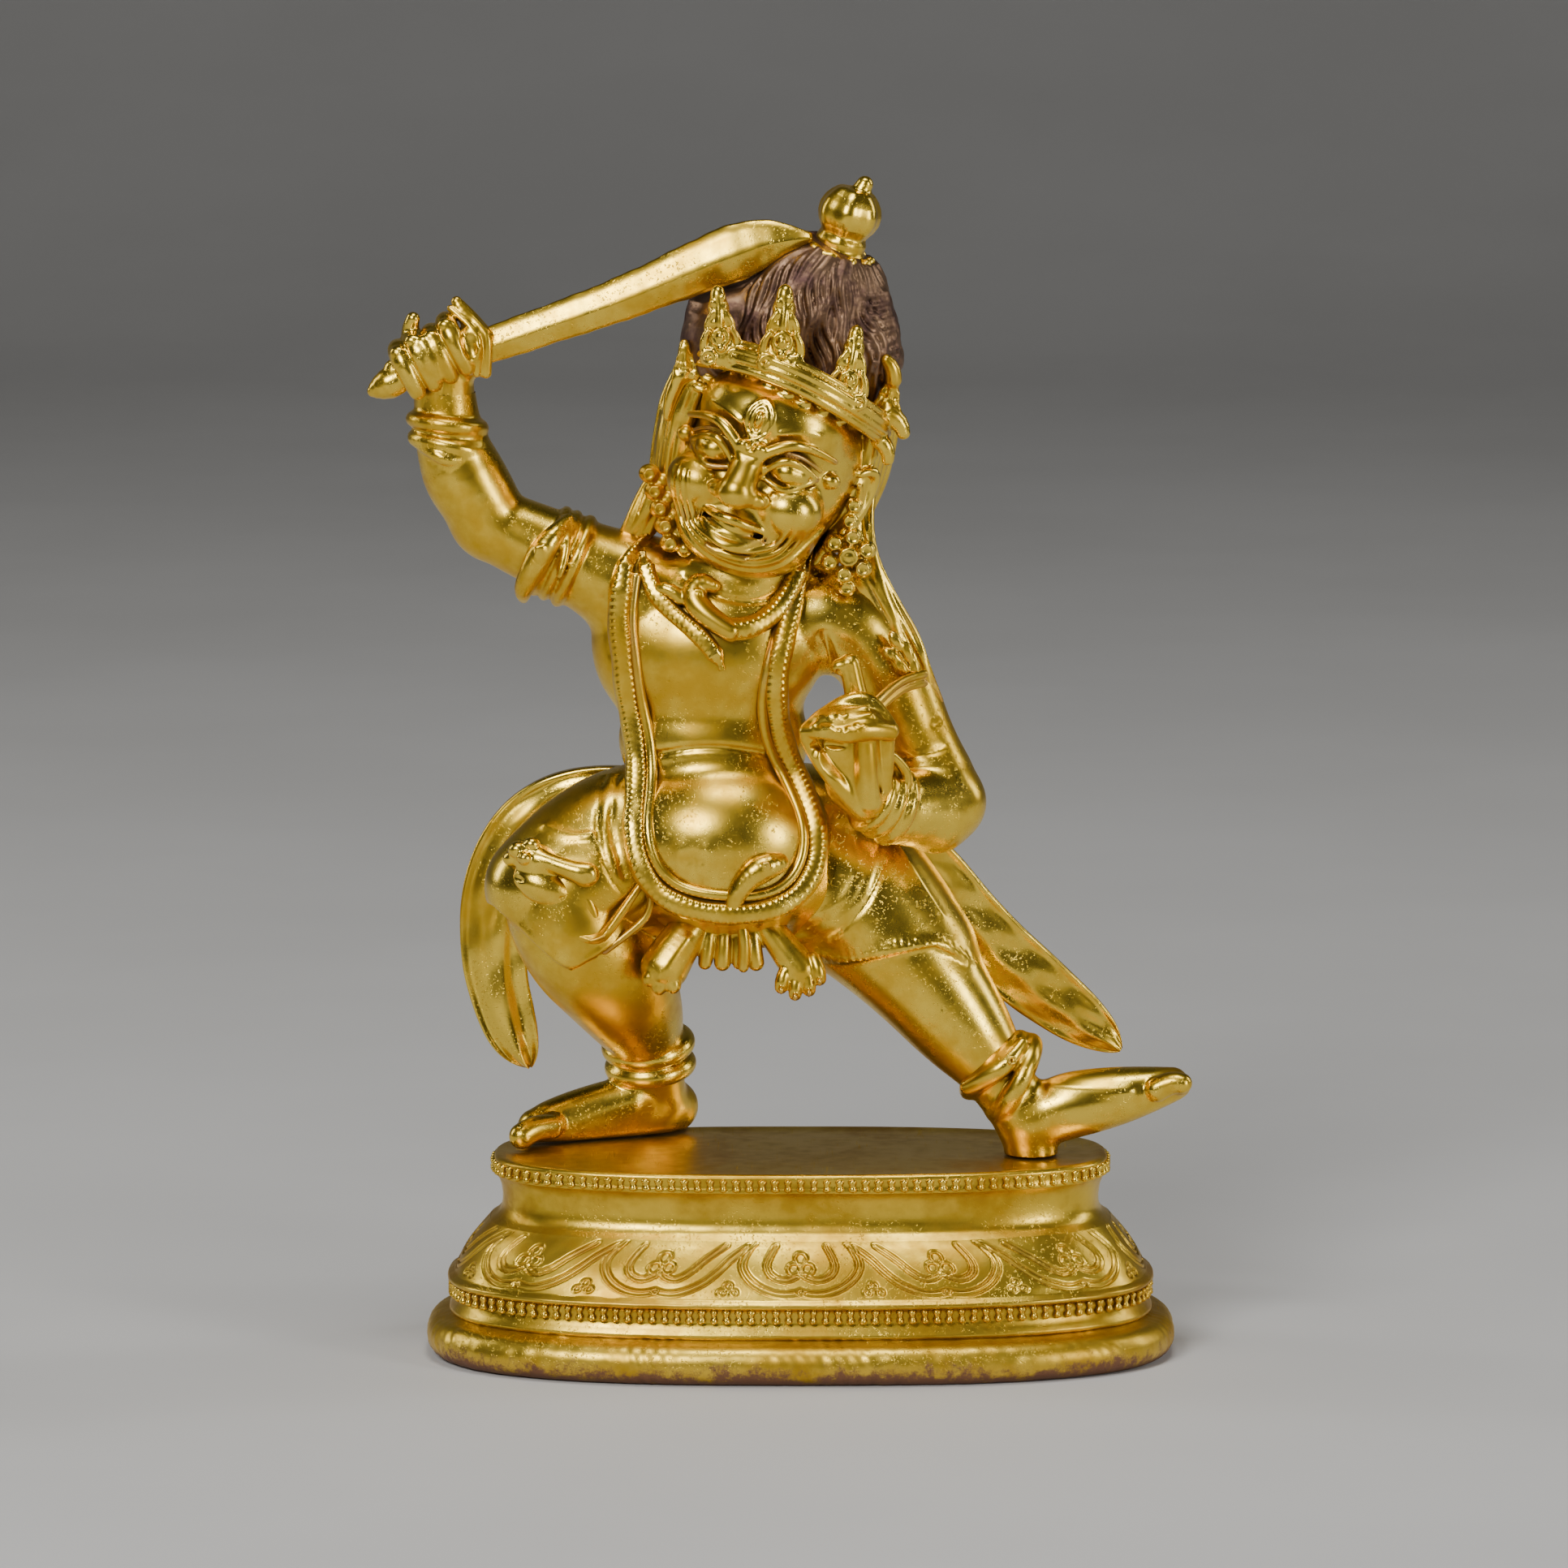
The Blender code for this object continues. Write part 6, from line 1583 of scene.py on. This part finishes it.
def gilt_finish(name, bright, deep, copper=0.5, copper_reach=0.0010, grime_and_shade_amount=0.4,
                grime_and_shade_reach=0.0022, scratches=0.5, smooth=0.24, dimples=420.0, relief=0.00006,
                pits=0.15, patches=60.0, under=(0.40, 0.19, 0.13), bare_below=None):
    """Fire gilding over copper: worn on the high places, with grime and painted shade in the low ones.
    """
    material = bpy.data.materials.new(name)
    material.use_nodes = True
    tree = material.node_tree
    shader = tree.nodes["Principled BSDF"]
    tone = group(tree, "gilding_tone", Bright_Gold=(*bright, 1), Deep_Gold=(*deep, 1),
                 Patches_per_Metre=patches)
    rub = group(tree, "rubbed_copper", Amount=copper, Reach=copper_reach)
    grime_and_shade = group(tree, "grime_and_painted_shade", Amount=grime_and_shade_amount, Reach=grime_and_shade_reach)
    lines = group(tree, "fine_scratches", Density=scratches)
    skin = group(tree, "cast_skin", Dimples_per_Metre=dimples, Pits=pits)
    # Painted shade: the gold darkens towards this darker copy of itself where the surface is hidden from
    # open air
    painted_shade = (*(part * share for part, share in zip(deep, PAINTED_SHADE_SHARES)), 1)
    colour = mixed(tree, maths(tree, "MULTIPLY", grime_and_shade.outputs["Shade"], 0.8),
                   tone.outputs["Color"], painted_shade)
    worn = rub.outputs["Mask"]
    if bare_below is not None:
        place = tree.nodes.new("ShaderNodeTexCoord").outputs["Object"]
        high = add(tree, "ShaderNodeSeparateXYZ", Vector=place).outputs[2]
        ragged = maths(tree, "MULTIPLY", noise(tree, place, 260.0, 8.0, 0.8), RAGGED_HEIGHT)
        edge = maths(tree, "ADD", high, ragged)
        worn = maths(tree, "MAXIMUM", worn, ramp(tree, edge, bare_below + 0.0085,
                                                 bare_below + 0.0060))
    colour = mixed(tree, worn, colour, (*under, 1))
    colour = mixed(tree, maths(tree, "MULTIPLY", skin.outputs["Pit Mask"], 0.6), colour, PIT_BROWN)
    # Grime with painted shade: the deepest recesses turn brown, lose their shine and roughen
    colour = mixed(tree, grime_and_shade.outputs["Mask"], colour, GRIME_AND_SHADE_BROWN)
    tree.links.new(colour, shader.inputs["Base Color"])
    metal = maths(tree, "SUBTRACT", 1.0, maths(tree, "MULTIPLY", grime_and_shade.outputs["Mask"], 0.85))
    tree.links.new(metal, shader.inputs["Metallic"])
    rough = maths(tree, "ADD", smooth, maths(tree, "MULTIPLY", tone.outputs["Thinness"], 0.12))
    rough = maths(tree, "ADD", rough, maths(tree, "MULTIPLY", worn, 0.14))
    rough = maths(tree, "ADD", rough, maths(tree, "MULTIPLY", grime_and_shade.outputs["Mask"], 0.35))
    rough = maths(tree, "ADD", rough, maths(tree, "MULTIPLY", lines.outputs["Mask"], 0.10), True)
    tree.links.new(rough, shader.inputs["Roughness"])
    height = maths(tree, "ADD", skin.outputs["Height"],
                   maths(tree, "MULTIPLY", lines.outputs["Height"], 1.3))
    bump = add(tree, "ShaderNodeBump", Strength=0.6, Distance=relief, Height=height)
    tree.links.new(bump.outputs[0], shader.inputs["Normal"])
    return material


# Thick gilding and the thinner gilding between its patches
BRIGHT = (0.94, 0.655, 0.08)
DEEP = (0.70, 0.41, 0.025)
GILT = gilt_finish("gilt_body", BRIGHT, DEEP, copper=0.2, scratches=1.0, dimples=900.0,
                   relief=0.00004)
GILT_CARVED = gilt_finish("gilt_carving", BRIGHT, DEEP, copper=0.6, grime_and_shade_amount=0.6, scratches=0.3)
# Painted shade: the base and its rolled foot have darker copies of the gilt colours, standing in for the
# dark reflections of their surroundings
GILT_BASE_SHADED = gilt_finish("gilt_base_painted_darker", (0.84, 0.57, 0.06), (0.52, 0.29, 0.018),
                        copper=0.4, copper_reach=0.0014, pits=0.4, grime_and_shade_amount=0.9,
                        grime_and_shade_reach=0.0008, scratches=1.0, smooth=0.29, dimples=1500.0,
                        relief=0.00004)
GILT_FOOT_SHADED = gilt_finish("gilt_foot_roll_painted_darker", (0.80, 0.54, 0.06), (0.52, 0.30, 0.02), copper=0.9,
                        copper_reach=0.0016, scratches=1.0, smooth=0.33, pits=0.5,
                        under=(0.26, 0.13, 0.075), bare_below=0.0016)
GILT_BEADS = gilt_finish("gilt_beads", BRIGHT, DEEP, copper=0.12, grime_and_shade_amount=1.0, grime_and_shade_reach=0.0016)
GILT_WORN = gilt_finish("gilt_worn_to_copper", BRIGHT, DEEP, copper=0.75, copper_reach=0.0011,
                        grime_and_shade_amount=0.7, scratches=0.4)
HAIR = gilt_finish("pigmented_hair", (0.25, 0.15, 0.085), (0.085, 0.045, 0.038), copper=0.0,
                   grime_and_shade_amount=0.9, smooth=0.40, patches=190.0)


# The pieces

def skin_piece(name, wax, material, limit, head=False):
    verts, faces = wax.skin()
    if head:
        verts = from_head(verts)
    return make_piece(name, to_world(verts), faces, material, limit)


def drawn_piece(name, parts, material, limit=None):
    verts, faces = parts
    return make_piece(name, to_world(verts), faces, material, limit)


torso = shape_torso()
bare_torso = torso.value.copy()
shape_ring_snakes(torso)
skin_piece("torso_and_arms", torso, GILT, 92000)
torso.value = bare_torso
skin_piece("legs_and_tiger_skin", shape_legs(), GILT, 80000)
skin_piece("tiger_mask_and_paws", shape_tiger(), GILT_CARVED, 36000)
skin_piece("bent_leg_foot", shape_right_foot(), GILT, 24000)
skin_piece("stretched_leg_foot", shape_left_foot(), GILT, 24000)
skin_piece("sword_hand", shape_sword_hand(), GILT_WORN, 30000)
skin_piece("cup_and_hand", shape_cup_hand(), GILT_WORN, 34000)
skin_piece("head", shape_head(), GILT_CARVED, 96000, head=True)
skin_piece("crown", shape_crown(), GILT_CARVED, 52000)
skin_piece("piled_hair", shape_hair(), HAIR, 66000)
skin_piece("hair_finial", shape_finial(), GILT_CARVED, 14000)
skin_piece("earrings", shape_earrings(), GILT_CARVED, 16000)
skin_piece("tresses", shape_tresses(), GILT_CARVED, 30000)
drawn_piece("scarf", shape_scarf(), GILT)
drawn_piece("sash_end", shape_sash(), GILT)
drawn_piece("snakes", shape_snakes(torso), GILT_CARVED)
drawn_piece("snake_heads", shape_snake_heads(torso), GILT_WORN, 12000)
drawn_piece("sword", shape_sword(), GILT)
casting, foot = shape_base_casting()
upper_beads = shape_bead_row(inset=9.95, height=27.4, pitch=1.85, tall=2.1, proud=1.0, waist=0.5)
lower_beads = shape_bead_row(inset=3.75, height=9.6, pitch=1.77, tall=2.3, proud=1.0, waist=0.6)
make_piece("base_casting", *casting, GILT_BASE_SHADED, node="lotus_base")
make_piece("rolled_foot", *foot, GILT_FOOT_SHADED, node="lotus_base")
make_piece("petal_band", *shape_petal_band(), GILT_BASE_SHADED, node="lotus_base")
make_piece("upper_beads", *upper_beads, GILT_BEADS, node="lotus_base")
make_piece("lower_beads", *lower_beads, GILT_BEADS, node="lotus_base")


# The studio

# Each soft light's name, place, size and power, in metres and watts
LIGHTS = (
    ("key", (-0.45, -0.95, 0.75), (0.40, 0.40), 10.2),
    ("fill", (0.85, -0.65, 0.30), (0.20, 0.45), 4.0),
    ("top", (0.05, -0.20, 1.0), (0.36, 0.24), 3.6),
    ("left_rim", (-0.85, 0.25, 0.45), (0.14, 0.6), 1.8),
    ("right_rim", (0.85, 0.25, 0.45), (0.14, 0.6), 1.8),
)
STATUE_MIDDLE = Vector((0, 0, 0.085))
FRAME_WIDTH = 0.2253    # metres across the picture at the statue


def soft_light(name, place, size, power):
    light = bpy.data.lights.new(name, "AREA")
    light.shape = "RECTANGLE"
    light.size, light.size_y = size
    light.energy = power
    lamp = bpy.data.objects.new(name, light)
    lamp.location = place
    lamp.rotation_euler = (STATUE_MIDDLE - Vector(place)).to_track_quat("-Z", "Y").to_euler()
    bpy.context.scene.collection.objects.link(lamp)


def make_floor():
    """A pale floor that sweeps up behind the statue."""
    profile = [(-3.0, 0.0), (1.2, 0.0)]
    profile += [(1.2 + 0.8 * math.sin(a), 0.8 - 0.8 * math.cos(a))
                for a in np.linspace(0.1, math.pi / 2, 12)]
    profile += [(2.0, 3.2)]
    verts = []
    for y, z in profile:
        verts += [(-4.0, y, z), (4.0, y, z)]
    faces = [(2 * k, 2 * k + 1, 2 * k + 3, 2 * k + 2) for k in range(len(profile) - 1)]
    floor = bpy.data.objects.new("floor", make_mesh("floor", np.array(verts), np.array(faces)))
    bpy.context.scene.collection.objects.link(floor)
    material = bpy.data.materials.new("pale_floor")
    material.use_nodes = True
    tree = material.node_tree
    shader = tree.nodes["Principled BSDF"]
    place = tree.nodes.new("ShaderNodeTexCoord").outputs["Object"]
    shade = ramp(tree, noise(tree, place, 6.0), 0.3, 0.7)
    tree.links.new(mixed(tree, shade, (0.56, 0.55, 0.53, 1), (0.60, 0.59, 0.57, 1)),
                   shader.inputs["Base Color"])
    shader.inputs["Roughness"].default_value = 0.7
    floor.data.materials.append(material)


def make_camera():
    """The photograph's view: from straight in front and a little above."""
    distance = 1.6
    elevation = math.radians(8.75)
    target = Vector((0.00025, 0, 0.0825))
    lens = bpy.data.cameras.new("camera")
    lens.sensor_width = 36
    lens.lens = lens.sensor_width * distance / FRAME_WIDTH
    lens.clip_start = 0.05
    camera = bpy.data.objects.new("camera", lens)
    camera.location = target + Vector((0, -math.cos(elevation), math.sin(elevation))) * distance
    camera.rotation_euler = (math.pi / 2 - elevation, 0, 0)
    bpy.context.scene.collection.objects.link(camera)
    bpy.context.scene.camera = camera


def light_studio():
    world = bpy.data.worlds.new("studio")
    world.use_nodes = True
    sky = world.node_tree.nodes["Background"]
    sky.inputs["Color"].default_value = (0.42, 0.43, 0.46, 1)
    sky.inputs["Strength"].default_value = 0.03
    bpy.context.scene.world = world
    for name, place, size, power in LIGHTS:
        soft_light(name, place, size, power)


make_floor()
make_camera()
light_studio()
